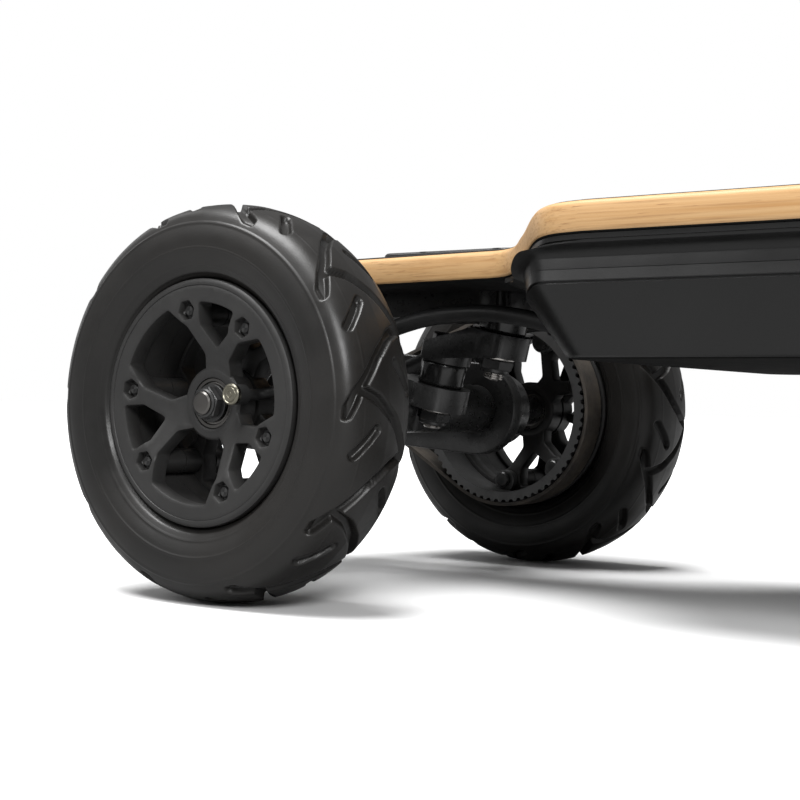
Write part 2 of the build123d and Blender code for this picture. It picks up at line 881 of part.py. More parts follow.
def pinion(side):
    tooth_radius = pinion_pitch_radius - tooth_drop
    with BuildPart() as gear:
        with BuildSketch(drive_plane(side, hub_offset - pulley_face_far)):
            with Locations(drive_spot(side)):
                Circle(tooth_radius)
                Circle(shaft_radius, mode=Mode.SUBTRACT)
                with PolarLocations(tooth_radius, pinion_teeth):
                    Circle(tooth_notch_radius - 0.2, mode=Mode.SUBTRACT)
        extrude(amount=pulley_face_far - belt_near + 1)
        with BuildSketch(drive_plane(side, hub_offset - pulley_face_far)):
            with Locations(drive_spot(side)):
                Circle(9)
                Circle(shaft_radius, mode=Mode.SUBTRACT)
        extrude(amount=-7)
    return gear.part


def motor_mount(side):
    """Cast arm: clamps round the hanger's end and carries the motor on its inboard face."""
    spot = drive_spot(side)
    arm = loop_outline(25, motor_radius - 2, spot)
    with BuildPart() as mount:
        with BuildSketch(drive_plane(side, clamp_near)):
            add(arm)
            Circle(clamp_seat_radius, mode=Mode.SUBTRACT)
            with Locations(spot):
                Circle(8.5, mode=Mode.SUBTRACT)
            with Locations((spot[0] * 0.47, spot[1] * 0.47)):
                SlotOverall(22, 14, rotation=90, mode=Mode.SUBTRACT)
        extrude(amount=mount_thickness)
        with BuildSketch(drive_plane(side, clamp_far)):
            Circle(20)
            Circle(sleeve_radius + 0.3, mode=Mode.SUBTRACT)
        extrude(amount=boss_end - clamp_far)
    return mount.part


def motor_housing(side):
    """Motor can with its end caps, and the wound stator ring inside it."""
    spot = drive_spot(side)
    length = motor_far - motor_near
    wall = 2.5
    with BuildPart() as can:
        with BuildSketch(drive_plane(side, motor_near)):
            with Locations(spot):
                Circle(motor_radius)
        extrude(amount=length)
        chamfer(can.edges().filter_by(GeomType.CIRCLE), 1.5)
        with BuildSketch(drive_plane(side, motor_near + 4)):
            with Locations(spot):
                Circle(motor_radius - wall)
        extrude(amount=length - 8, mode=Mode.SUBTRACT)
        with BuildSketch(drive_plane(side, motor_near + 2)):
            with Locations(spot):
                Circle(shaft_radius + running_gap)
        extrude(amount=length, mode=Mode.SUBTRACT)
        with BuildSketch(drive_plane(side, motor_near + 8)):
            with Locations(spot):
                Circle(motor_radius - wall - 0.1)
                Circle(15, mode=Mode.SUBTRACT)
        extrude(amount=length - 16)
    return can.part


def rotor(side):
    """Magnet drum and shaft; the shaft carries the pinion."""
    spot = drive_spot(side)
    with BuildPart() as drum:
        with BuildSketch(drive_plane(side, motor_near + 7)):
            with Locations(spot):
                Circle(14)
        extrude(amount=motor_far - motor_near - 14)
        with BuildSketch(drive_plane(side, motor_near + 2.5)):
            with Locations(spot):
                Circle(shaft_radius)
        extrude(amount=hub_offset - belt_near + 1 - motor_near - 2.5)
    return drum.part


for side_name, side in sides:
    save(settle(pulley_part, -1, side), f"{side_name}_drive_pulley")
    save(belt(side), f"{side_name}_belt")
    save(pinion(side), f"{side_name}_pinion")
    save(motor_mount(side), f"{side_name}_motor_mount")
    save(motor_housing(side), f"{side_name}_motor")
    save(rotor(side), f"{side_name}_rotor")

# ---- motor cables, from the case's end to each motor ----
cable_radius = 4.0
cable_route = [
    (138.0, 30, 121),
    (116, 32, 123.5),
    (94, 35, 129.5),
    (70, 37, 133.5),
    (40, 37.5, 132),
    (12, 38, 124),
    (-16, 41, 113.5),
    (-40, 44.5, 106.5),
    (-58.8, 46, 104),
]


def corner_radii(points):
    """Largest arc that each corner's two runs leave room for."""
    radii = []
    for before, here, after in zip(points, points[1:], points[2:]):
        into = Vector(*here) - Vector(*before)
        out_of = Vector(*after) - Vector(*here)
        turn = math.radians(into.get_angle(out_of))
        radii.append(0.45 * min(into.length, out_of.length) / math.tan(turn / 2))
    return radii


with BuildPart() as motor_cables:
    for side in (-1, 1):
        route = [(along(-1, inward), side * out, height) for inward, out, height in cable_route]
        radii = corner_radii(route)
        print("cable radii", [round(r) for r in radii])
        with BuildLine() as run:
            FilletPolyline(route, radius=radii)
        with BuildSketch(Plane(origin=run.line @ 0, z_dir=run.line % 0)):
            Circle(cable_radius)
        sweep(path=run.line)
cable_length = sum(edge.length for edge in run.line.edges())
swept_volume = 2 * math.pi * cable_radius ** 2 * cable_length
print("cable length", round(cable_length, 1), "volume ratio", round(motor_cables.part.volume / swept_volume, 4))
save(motor_cables.part, "motor_cables")
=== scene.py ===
import math

import bpy
import bmesh
import numpy as np
from mathutils import Matrix, Vector
from mathutils.geometry import delaunay_2d_cdt


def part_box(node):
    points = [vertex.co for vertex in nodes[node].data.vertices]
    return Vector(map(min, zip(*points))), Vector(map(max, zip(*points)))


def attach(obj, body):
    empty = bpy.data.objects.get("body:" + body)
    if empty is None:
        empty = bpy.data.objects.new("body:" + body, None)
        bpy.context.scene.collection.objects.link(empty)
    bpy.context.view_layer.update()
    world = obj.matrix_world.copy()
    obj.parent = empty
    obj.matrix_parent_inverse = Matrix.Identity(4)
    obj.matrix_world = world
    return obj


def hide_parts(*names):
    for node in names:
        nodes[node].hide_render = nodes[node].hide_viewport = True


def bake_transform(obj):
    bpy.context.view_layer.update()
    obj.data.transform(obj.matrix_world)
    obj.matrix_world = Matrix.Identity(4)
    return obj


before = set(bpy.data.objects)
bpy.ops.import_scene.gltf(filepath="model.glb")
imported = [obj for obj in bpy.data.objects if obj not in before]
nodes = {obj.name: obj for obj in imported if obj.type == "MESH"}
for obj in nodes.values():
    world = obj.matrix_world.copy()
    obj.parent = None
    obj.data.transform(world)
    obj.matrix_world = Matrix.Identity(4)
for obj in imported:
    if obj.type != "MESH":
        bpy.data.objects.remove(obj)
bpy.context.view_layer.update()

mm = 0.001
ends = (("rear", -1), ("front", 1))
sides = (("right", -1), ("left", 1))


# ---- small tools ----
def centre_of(node):
    low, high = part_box(node)
    return (low + high) / 2


def polar(radius, degrees):
    return (radius * math.cos(math.radians(degrees)), radius * math.sin(math.radians(degrees)))


def make_mesh(name, verts, faces, sharp=35.0):
    """Mesh from points in millimetres, shaded smooth except at edges sharper than `sharp` degrees."""
    mesh = bpy.data.meshes.new(name)
    points = [tuple(v) for v in np.asarray(verts, float) * mm]
    mesh.from_pydata(points, [], [tuple(map(int, f)) for f in faces])
    mesh.validate()
    mesh.shade_smooth()
    if sharp:
        mesh.set_sharp_from_angle(angle=math.radians(sharp))
    return mesh


def new_object(name, data):
    thing = bpy.data.objects.new(name, data)
    bpy.context.scene.collection.objects.link(thing)
    return thing


def put(name, mesh, material, body, matrix=None, replaced=()):
    """Adds one visible piece, places it, and says what it rides on and stands for."""
    piece = new_object(name, mesh)
    if matrix is not None:
        piece.matrix_world = matrix
    if not mesh.materials:
        mesh.materials.append(mat[material])
    if body is not None:
        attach(piece, body)
    if replaced:
        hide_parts(*replaced)
    return piece


class Shape:
    """Collects several closed shells, in millimetres, for one mesh."""

    def __init__(self):
        self.verts = []
        self.faces = []

    def add(self, verts, faces, flip=False):
        base = len(self.verts)
        self.verts.extend([tuple(map(float, v)) for v in verts])
        for face in faces:
            face = [int(i) + base for i in face]
            self.faces.append(face[::-1] if flip else face)
        return self

    def mesh(self, name, sharp=35.0):
        return make_mesh(name, self.verts, self.faces, sharp)


def lathe(profile, steps=96):
    """Spins a closed (radius, height) outline about Z."""
    profile = np.asarray(profile, float)
    count = len(profile)
    turn = np.linspace(0, 2 * math.pi, steps, endpoint=False)
    radius, height = profile[:, 0], profile[:, 1]
    x = np.outer(np.cos(turn), radius).ravel()
    y = np.outer(np.sin(turn), radius).ravel()
    z = np.tile(height, steps)
    ring = np.arange(steps)[:, None] * count
    following = (np.arange(steps)[:, None] + 1) % steps * count
    here = np.arange(count)[None, :]
    after = (here + 1) % count
    faces = np.stack([ring + here, following + here, following + after, ring + after], axis=-1).reshape(-1, 4)
    return np.column_stack([x, y, z]), faces


def solid_lathe(profile, steps=64):
    """Spins an open outline whose two ends lie on the axis, and closes it there."""
    points = [(max(r, 0.02), h) for r, h in profile]
    verts, faces = lathe(points, steps)
    count = len(points)
    faces = [f for f in faces.tolist() if not (f[0] % count == count - 1)]
    faces.append([i * count + count - 1 for i in range(steps)])
    faces.append([i * count for i in range(steps)][::-1])
    return verts, faces


def prism(points, low, high, edge=0.0):
    """Upright prism on a convex outline, with both rims chamfered by `edge`."""
    points = np.asarray(points, float)
    middle = points.mean(axis=0)
    away = points - middle
    shrink = 1 - edge / np.linalg.norm(away, axis=1, keepdims=True)
    levels = [(low, shrink), (low + edge, 1.0), (high - edge, 1.0), (high, shrink)]
    if edge == 0:
        levels = [(low, 1.0), (high, 1.0)]
    verts = []
    for height, scale in levels:
        ring = middle + away * scale
        verts.extend([(x, y, height) for x, y in ring])
    count = len(points)
    faces = []
    for level in range(len(levels) - 1):
        for i in range(count):
            j = (i + 1) % count
            a = level * count
            faces.append([a + i, a + j, a + count + j, a + count + i])
    faces.append(list(range(count))[::-1])
    faces.append([(len(levels) - 1) * count + i for i in range(count)])
    return verts, faces


def hexagon(radius, centre=(0, 0), turn=0.0):
    return [(centre[0] + radius * math.cos(math.radians(turn + 60 * i)),
             centre[1] + radius * math.sin(math.radians(turn + 60 * i))) for i in range(6)]


def circle_points(radius, centre, count=20):
    return np.array([(centre[0] + radius * math.cos(2 * math.pi * k / count),
                      centre[1] + radius * math.sin(2 * math.pi * k / count)) for k in range(count)])


def moved(verts, matrix):
    return [tuple(matrix @ Vector(v)) for v in verts]


def at(x, y, part):
    """Points and faces of a part, shifted sideways."""
    verts, faces = part
    return [(a + x, b + y, c) for a, b, c in verts], faces


def turned(part, matrix):
    """Points and faces of a part, moved by a matrix."""
    verts, faces = part
    return moved(verts, matrix), faces


def axes(across, along, up, origin):
    """Matrix whose local X, Y and Z point along the three given directions."""
    return Matrix((*[(across[k], along[k], up[k], origin[k]) for k in range(3)], (0, 0, 0, 1)))


def catmull(points, per_span=12):
    """Smooth line through 2-D or 3-D points."""
    points = np.asarray(points, float)
    padded = np.vstack([2 * points[0] - points[1], points, 2 * points[-1] - points[-2]])
    out = []
    for i in range(1, len(padded) - 2):
        a, b, c, d = padded[i - 1:i + 3]
        for t in np.linspace(0, 1, per_span, endpoint=False):
            out.append(0.5 * (2 * b + (c - a) * t + (2 * a - 5 * b + 4 * c - d) * t * t
                              + (3 * b - a - 3 * c + d) * t ** 3))
    out.append(points[-1])
    return np.array(out)


def resample(points, step):
    """Points a given step apart along a line."""
    points = np.asarray(points, float)
    reach = np.concatenate([[0], np.cumsum(np.linalg.norm(np.diff(points, axis=0), axis=1))])
    count = max(2, int(round(reach[-1] / step)) + 1)
    places = np.linspace(0, reach[-1], count)
    return np.column_stack([np.interp(places, reach, points[:, k]) for k in range(points.shape[1])])


def tube(path, radius, steps=16):
    """Round tube with closed ends along a smooth path. `radius` is one number or one for each point."""
    path = np.asarray(path, float)
    radius = np.broadcast_to(np.asarray(radius, float), (len(path),))
    ahead = np.gradient(path, axis=0)
    ahead /= np.linalg.norm(ahead, axis=1, keepdims=True)
    side = np.cross(ahead[0], (0.13, 0.31, 0.94))
    verts = []
    for point, way, r in zip(path, ahead, radius):
        side = side - way * np.dot(side, way)
        side /= np.linalg.norm(side)
        up = np.cross(way, side)
        for k in range(steps):
            turn = 2 * math.pi * k / steps
            verts.append(point + r * (math.cos(turn) * side + math.sin(turn) * up))
    faces = []
    for i in range(len(path) - 1):
        for k in range(steps):
            j = (k + 1) % steps
            faces.append([i * steps + k, i * steps + j, (i + 1) * steps + j, (i + 1) * steps + k])
    faces.append(list(range(steps))[::-1])
    faces.append([(len(path) - 1) * steps + k for k in range(steps)])
    return verts, faces


# ---- plates with windows, edges and a shaped face ----
def inside(points, outline):
    """Which points lie inside a closed outline."""
    points = np.asarray(points, float)
    outline = np.asarray(outline, float)
    following = np.roll(outline, -1, axis=0)
    x, y = points[:, 0][:, None], points[:, 1][:, None]
    above = (outline[:, 1] > y) != (following[:, 1] > y)
    rise = following[:, 1] - outline[:, 1]
    rise = np.where(rise == 0, 1e-12, rise)
    cross = (following[:, 0] - outline[:, 0]) * (y - outline[:, 1]) / rise + outline[:, 0]
    return (above & (x < cross)).sum(axis=1) % 2 == 1


def signed_area(outline):
    following = np.roll(outline, -1, axis=0)
    return 0.5 * np.sum(outline[:, 0] * following[:, 1] - following[:, 0] * outline[:, 1])


def offset(outline, amount):
    """Moves a closed anticlockwise outline outward by `amount`."""
    before = np.roll(outline, 1, axis=0)
    after = np.roll(outline, -1, axis=0)
    way = after - before
    way /= np.linalg.norm(way, axis=1, keepdims=True)
    return outline + amount * np.column_stack([way[:, 1], -way[:, 0]])


def rounded(corners, radius, step=0.6):
    """Closed outline in even steps, its corners rounded by one `radius`, or by one each."""
    corners = [np.array(c, float) for c in corners]
    count = len(corners)
    radii = np.broadcast_to(np.asarray(radius, float), (count,))
    out = []
    for i, corner in enumerate(corners):
        into = corners[i - 1] - corner
        away = corners[(i + 1) % count] - corner
        long_in, long_out = np.linalg.norm(into), np.linalg.norm(away)
        into, away = into / long_in, away / long_out
        half = math.acos(max(-1, min(1, float(np.dot(into, away))))) / 2
        cut = min(radii[i] / max(math.tan(half), 1e-3), 0.49 * long_in, 0.49 * long_out)
        start, finish = corner + into * cut, corner + away * cut
        for t in np.linspace(0, 1, 7):
            out.append((1 - t) ** 2 * start + 2 * t * (1 - t) * corner + t * t * finish)
    out.append(out[0])
    return resample(out, step)[:-1]


def plate(outer, holes, front, back, edge, grid, back_edge=None):
    """A plate between two height fields. The (distance, drop) rings of `edge` round the edges of its outline
    and holes. A grid of points fills its faces, so that they can be shaped."""
    outer = np.asarray(outer, float)
    outer = outer if signed_area(outer) > 0 else outer[::-1]
    holes = [np.asarray(h, float) for h in holes]
    holes = [h if signed_area(h) > 0 else h[::-1] for h in holes]
    verts, faces = [], []
    edge_rings = {}
    for face_up, rings in ((True, edge), (False, back_edge or edge)):
        points, drops, loops, segments = [], [], [], []
        for number, outline in enumerate([outer] + holes):
            grow = -1 if number == 0 else 1
            for distance, drop in rings:
                ring = offset(outline, grow * distance) if distance else outline
                start = len(points)
                points.extend(ring.tolist())
                drops.extend([drop] * len(ring))
                ids = list(range(start, start + len(ring)))
                loops.append((distance, ids))
                segments.extend([(ids[k], ids[(k + 1) % len(ids)]) for k in range(len(ids))])
        last = rings[-1][0]
        low, high = outer.min(axis=0), outer.max(axis=0)
        xs = np.arange(low[0] + grid / 2, high[0], grid)
        ys = np.arange(low[1] + grid / 2, high[1], grid)
        field = np.array([(x + (grid / 2 if row % 2 else 0), y) for row, y in enumerate(ys) for x in xs])
        keep = inside(field, offset(outer, -last - 0.35 * grid))
        for hole in holes:
            keep &= ~inside(field, offset(hole, last + 0.35 * grid))
        field = field[keep]
        points.extend(field.tolist())
        drops.extend([0.0] * len(field))
        found = delaunay_2d_cdt([Vector(p) for p in points], segments, [], 0, 1e-7, True)
        flat = np.array([tuple(p) for p in found[0]])
        source = [ids[0] if ids else -1 for ids in found[3]]
        drop = np.array([drops[i] if i >= 0 else 0.0 for i in source])
        triangles = np.array(found[2])
        middle = flat[triangles].mean(axis=1)
        keep = inside(middle, outer)
        for hole in holes:
            keep &= ~inside(middle, hole)
        triangles = triangles[keep]
        height = front(flat[:, 0], flat[:, 1]) - drop if face_up else back(flat[:, 0], flat[:, 1]) + drop
        base = len(verts)
        verts.extend(np.column_stack([flat, height]).tolist())
        faces.extend([[base + int(i) for i in (t if face_up else t[::-1])] for t in triangles])
        place = {s: base + i for i, s in enumerate(source) if s >= 0}
        edge_rings[face_up] = [[place[i] for i in ids] for distance, ids in loops if distance == 0]
    for number, (top, bottom) in enumerate(zip(edge_rings[True], edge_rings[False])):
        count = len(top)
        for k in range(count):
            j = (k + 1) % count
            quad = [bottom[k], bottom[j], top[j], top[k]]
            faces.append(quad if number == 0 else quad[::-1])
    return verts, faces


def rounding(radius, steps=3):
    """(distance, drop) rings of a quarter-round edge."""
    rings = []
    for k in range(steps + 1):
        turn = math.pi / 2 * k / steps
        rings.append((radius * (1 - math.cos(turn)), radius * (1 - math.sin(turn))))
    return rings


# ---- materials ----
mat = {}


def node_tree(name):
    material = bpy.data.materials.new(name)
    material.use_nodes = True
    tree = material.node_tree
    return material, tree, tree.nodes["Principled BSDF"]


def add_node(tree, kind, **values):
    """New shader node with some inputs set; a name's underscores stand for spaces."""
    node = tree.nodes.new(kind)
    for name, value in values.items():
        node.inputs[name.replace("_", " ")].default_value = value
    return node


def noise(tree, scale, detail=4.0, roughness=0.55):
    where = tree.nodes.new("ShaderNodeTexCoord")
    return noise_at(tree, where.outputs["Object"], scale, detail, roughness)


def noise_at(tree, vector, scale, detail, roughness):
    texture = add_node(tree, "ShaderNodeTexNoise", Scale=scale, Detail=detail, Roughness=roughness)
    tree.links.new(vector, texture.inputs["Vector"])
    return texture.outputs["Fac"]


def ramp(tree, source, stops):
    """Colour ramp. Stops are (place, colour)."""
    node = tree.nodes.new("ShaderNodeValToRGB")
    elements = node.color_ramp.elements
    while len(elements) < len(stops):
        elements.new(0.5)
    for element, (place, colour) in zip(elements, stops):
        element.position = place
        element.color = (*colour, 1)
    tree.links.new(source, node.inputs["Fac"])
    return node.outputs["Color"]


def spread(tree, source, low, high, start=0.3, end=0.7):
    node = add_node(tree, "ShaderNodeMapRange", From_Min=start, From_Max=end, To_Min=low, To_Max=high)
    tree.links.new(source, node.inputs["Value"])
    return node.outputs["Result"]


def bump(tree, source, strength, distance):
    node = add_node(tree, "ShaderNodeBump", Strength=strength, Distance=distance)
    tree.links.new(source, node.inputs["Height"])
    return node.outputs["Normal"]


def blend_colours(tree, factor, first, second):
    node = tree.nodes.new("ShaderNodeMix")
    node.data_type = "RGBA"
    for socket, value in ((node.inputs[0], factor), (node.inputs[6], first), (node.inputs[7], second)):
        if hasattr(value, "links"):
            tree.links.new(value, socket)
        elif hasattr(value, "__len__"):
            socket.default_value = (*value, 1)
        else:
            socket.default_value = value
    return node.outputs[2]


def surface(name, dark, light, rough, grain=900.0, grain_strength=0.15, patch=25.0, metallic=0.0,
            specular=0.5, wear_and_glint=None):
    """Moulded, cast or painted surface: two close colours in soft patches, uneven gloss and a fine grain.
    The last argument gives the colour of sharp edges: partly rubbed wear, partly a painted highlight where
    edges catch the light."""
    material, tree, shader = node_tree(name)
    colour = ramp(tree, noise(tree, patch), ((0.3, dark), (0.7, light)))
    if wear_and_glint is not None:
        # Sharp edges are made lighter by pointiness: rubbed wear, and also a painted highlight of the glints
        # that edges catch.
        geometry = tree.nodes.new("ShaderNodeNewGeometry")
        edges = spread(tree, geometry.outputs["Pointiness"], 0.0, 0.65, 0.53, 0.6)
        colour = blend_colours(tree, edges, colour, wear_and_glint)
    tree.links.new(colour, shader.inputs["Base Color"])
    gloss = spread(tree, noise(tree, patch * 5), rough[0], rough[1])
    tree.links.new(gloss, shader.inputs["Roughness"])
    tree.links.new(bump(tree, noise(tree, grain), grain_strength, 0.0002), shader.inputs["Normal"])
    shader.inputs["Metallic"].default_value = metallic
    shader.inputs["Specular IOR Level"].default_value = specular
    mat[name] = material


def grey(value, warm=0.0):
    return (value * (1 + warm), value, value * (1 - warm))


surface("tyre", grey(0.008, 0.03), grey(0.015, 0.08), (0.30, 0.46), grain=1400, grain_strength=0.16,
        patch=14, specular=0.42)
surface("tube_rubber", grey(0.012), grey(0.02), (0.45, 0.6), grain=1200)
surface("hub_plastic", grey(0.018, 0.02), grey(0.025, 0.02), (0.40, 0.52), grain=2600,
        grain_strength=0.28, patch=40, specular=0.45)
surface("steel", grey(0.42, 0.03), grey(0.60, 0.05), (0.18, 0.34), grain=3000, grain_strength=0.06,
        metallic=1.0)
# Edge colours here are partly rubbed wear, partly a painted highlight on sharp edges.
surface("bolt_black", grey(0.014), grey(0.030), (0.25, 0.42), grain=2500, metallic=0.75, wear_and_glint=grey(0.12))
surface("truck_black", grey(0.026), grey(0.042), (0.24, 0.38), grain=1100, grain_strength=0.35, patch=60,
        metallic=0.25, specular=0.6, wear_and_glint=grey(0.10))
surface("plate_black", grey(0.011), grey(0.018), (0.36, 0.5), grain=1300, grain_strength=0.3)
surface("dark_steel", grey(0.09, 0.03), grey(0.16, 0.05), (0.24, 0.38), grain=3000, grain_strength=0.08,
        metallic=1.0)
surface("case_plastic", grey(0.0045), grey(0.007), (0.28, 0.40), grain=2200, grain_strength=0.22,
        patch=9, specular=0.45)
# Painted shade: the case's flat underside gets a darker, matte, barely reflective finish so that it reads as
# shadow.
surface("case_underside_painted_shade", grey(0.004), grey(0.006), (0.85, 0.95), grain=1500, specular=0.1)
surface("deck_paint", grey(0.005), grey(0.008), (0.7, 0.85), grain=1500, specular=0.2)
surface("urethane", grey(0.008), grey(0.013), (0.16, 0.26), grain=600, grain_strength=0.05, specular=0.6)
surface("belt_rubber", grey(0.040, 0.1), grey(0.085, 0.2), (0.6, 0.8), grain=2500, grain_strength=0.4,
        patch=90)
# Edge colours here are partly rubbed wear, partly a painted highlight on sharp edges.
surface("pulley_metal", grey(0.022), grey(0.034), (0.34, 0.5), grain=2400, grain_strength=0.1,
        metallic=0.6, wear_and_glint=grey(0.14))
surface("motor_can", grey(0.018), grey(0.03), (0.24, 0.38), grain=1800, grain_strength=0.1, metallic=0.7,
        wear_and_glint=grey(0.16))
surface("cable_jacket", grey(0.010), grey(0.018), (0.38, 0.52), grain=1500)
surface("battery_wrap", (0.010, 0.045, 0.12), (0.014, 0.06, 0.15), (0.3, 0.45), grain=500)
surface("heat_sink", grey(0.35), grey(0.5), (0.3, 0.45), grain=2600, metallic=1.0)
surface("button_metal", grey(0.42), grey(0.55), (0.2, 0.32), grain=3000, metallic=1.0)
surface("brass", (0.20, 0.19, 0.15), (0.34, 0.32, 0.26), (0.24, 0.38), grain=2500, metallic=1.0)


def grip_material():
    material, tree, shader = node_tree("grip_grit")
    grit = noise(tree, 2600, detail=2.0, roughness=0.8)
    colour = ramp(tree, grit, ((0.45, grey(0.009)), (0.6, grey(0.018)), (0.75, grey(0.07))))
    tree.links.new(colour, shader.inputs["Base Color"])
    tree.links.new(spread(tree, grit, 0.9, 0.55), shader.inputs["Roughness"])
    tree.links.new(bump(tree, grit, 0.9, 0.0006), shader.inputs["Normal"])
    return material


def bamboo_material():
    """Pressed bamboo: long fibres along the board, and thin glued layers on its edge."""
    material, tree, shader = node_tree("bamboo")
    where = tree.nodes.new("ShaderNodeAttribute")
    where.attribute_name = "grain"
    split = tree.nodes.new("ShaderNodeSeparateXYZ")
    tree.links.new(where.outputs["Vector"], split.inputs["Vector"])

    def fibre(stretch, detail=5.0):
        mapping = add_node(tree, "ShaderNodeMapping", Scale=stretch)
        tree.links.new(where.outputs["Vector"], mapping.inputs["Vector"])
        return noise_at(tree, mapping.outputs["Vector"], 1.0, detail, 0.6)

    pale, amber, brown = (0.58, 0.36, 0.17), (0.47, 0.255, 0.098), (0.27, 0.125, 0.042)
    fine = fibre((14, 900, 900))
    broad = fibre((5, 160, 330), detail=3.0)
    colour = ramp(tree, broad, ((0.28, amber), (0.5, pale), (0.72, (0.53, 0.31, 0.13))))
    colour = blend_colours(tree, spread(tree, fine, 0.0, 0.75, 0.52, 0.74), colour, brown)
    flecks = fibre((60, 1500, 1500), detail=2.0)
    colour = blend_colours(tree, spread(tree, flecks, 0.0, 0.7, 0.66, 0.76), colour, (0.23, 0.10, 0.035))
    glue = tree.nodes.new("ShaderNodeMath")
    glue.operation = "PINGPONG"
    glue.inputs[1].default_value = 0.0013
    tree.links.new(split.outputs["Z"], glue.inputs[0])
    line = spread(tree, glue.outputs["Value"], 0.35, 0.0, 0.0, 0.00016)
    colour = blend_colours(tree, line, colour, (0.47, 0.24, 0.09))
    tree.links.new(colour, shader.inputs["Base Color"])
    tree.links.new(spread(tree, fine, 0.36, 0.52), shader.inputs["Roughness"])
    tree.links.new(bump(tree, fine, 0.25, 0.0003), shader.inputs["Normal"])
    shader.inputs["Specular IOR Level"].default_value = 0.4
    shader.inputs["Coat Weight"].default_value = 0.15
    shader.inputs["Coat Roughness"].default_value = 0.35
    return material


mat["grip"] = grip_material()
mat["bamboo"] = bamboo_material()


def keep_node(node, material):
    """A CAD node that stays as it is gets its finish."""
    piece = nodes[node]
    for place in piece.material_slots:
        place.material = mat[material]
    if not piece.material_slots:
        piece.data.materials.append(mat[material])


def softened(node, material, body, width):
    """Copy of a CAD metal part with its edges broken by a small round, as casting leaves them."""
    mesh = nodes[node].data.copy()
    mesh.materials.clear()
    shape = bmesh.new()
    shape.from_mesh(mesh)
    bmesh.ops.remove_doubles(shape, verts=shape.verts, dist=0.00001)
    bmesh.ops.dissolve_limit(shape, angle_limit=math.radians(0.6), verts=shape.verts, edges=shape.edges)
    edges = [e for e in shape.edges if len(e.link_faces) == 2 and e.calc_face_angle(0) > math.radians(40)
             and e.calc_length() > 0.00002]
    bmesh.ops.bevel(shape, geom=edges, offset=width * mm, offset_type="OFFSET", segments=2, profile=0.6,
                    affect="EDGES", clamp_overlap=True)
    bmesh.ops.triangulate(shape, faces=[f for f in shape.faces if len(f.verts) > 4])
    shape.to_mesh(mesh)
    shape.free()
    mesh.shade_smooth()
    mesh.set_sharp_from_angle(angle=math.radians(38))
    return put(f"{node}_cast", mesh, material, body, replaced=(node,))


# ---- where things are, read from the frame ----
hub = {}
for end_name, end in ends:
    for side_name, side in sides:
        corner = f"{end_name}_{side_name}"
        middle = centre_of(f"{corner}_tyre")
        hub[corner] = axes((1, 0, 0), (0, 0, -side), (0, side, 0), middle)
tyre_low, tyre_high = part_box("rear_right_tyre")
tyre_radius = (tyre_high.z - tyre_low.z) / 2 / mm
half_width = (tyre_high.y - tyre_low.y) / 2 / mm

# ---- tyres ----
tread_pitches = 10
pitch_degrees = 360 / tread_pitches
columns_per_pitch = 84
degree_length = math.radians(1) * tyre_radius
groove_depth = 3.3
groove_start = 4.6
zigzag = [(21.6, -7.2), (20.2, -5.2), (17, -0.8), (15.4, 0.6), (7.2, 7.5), (4.2, 9.8), (-3.9, 14.2),
          (-6, 15.3), (-15.5, 18)]
capsule = [(6.6, 25.2), (16.6, 17.8)]
section = catmull([(54.0, 16.2), (54.35, 18.7), (56.0, 20.7), (60, 22.7), (65, 24.3), (70, 24.9), (75, 24.4),
                   (79, 22.9), (82.0, 20.9), (84.2, 17.7), (85.8, 13), (87.0, 7), (tyre_radius, 0)], 40)
wall_part = resample(section[section[:, 0] < 79.0], 0.55)
tread_part = resample(section[section[:, 0] >= 79.0], 0.52)
upper = np.vstack([wall_part, tread_part])
outside = np.vstack([upper, (upper * (1, -1))[::-1][1:]])
lining_side = np.array([(49.2, -15.9), (49.2, -12.8), (54.3, -13.5), (57, -18.6), (69.5, -21), (79, -15)])
lining = np.vstack([lining_side, [(82.6, 0)], (lining_side * (1, -1))[::-1]])


def distance_to(line, h, s):
    """Distance of points from a line drawn on the tread, with the way round measured in millimetres."""
    best = np.full(h.shape, 1e9)
    for (h0, a0), (h1, a1) in zip(line, line[1:]):
        s0, s1 = a0 * degree_length, a1 * degree_length
        dh, ds = h1 - h0, s1 - s0
        t = np.clip(((h - h0) * dh + (s - s0) * ds) / (dh * dh + ds * ds), 0, 1)
        best = np.minimum(best, np.hypot(h - h0 - t * dh, s - s0 - t * ds))
    return best


def ease(value):
    value = np.clip(value, 0, 1)
    return value * value * (3 - 2 * value)


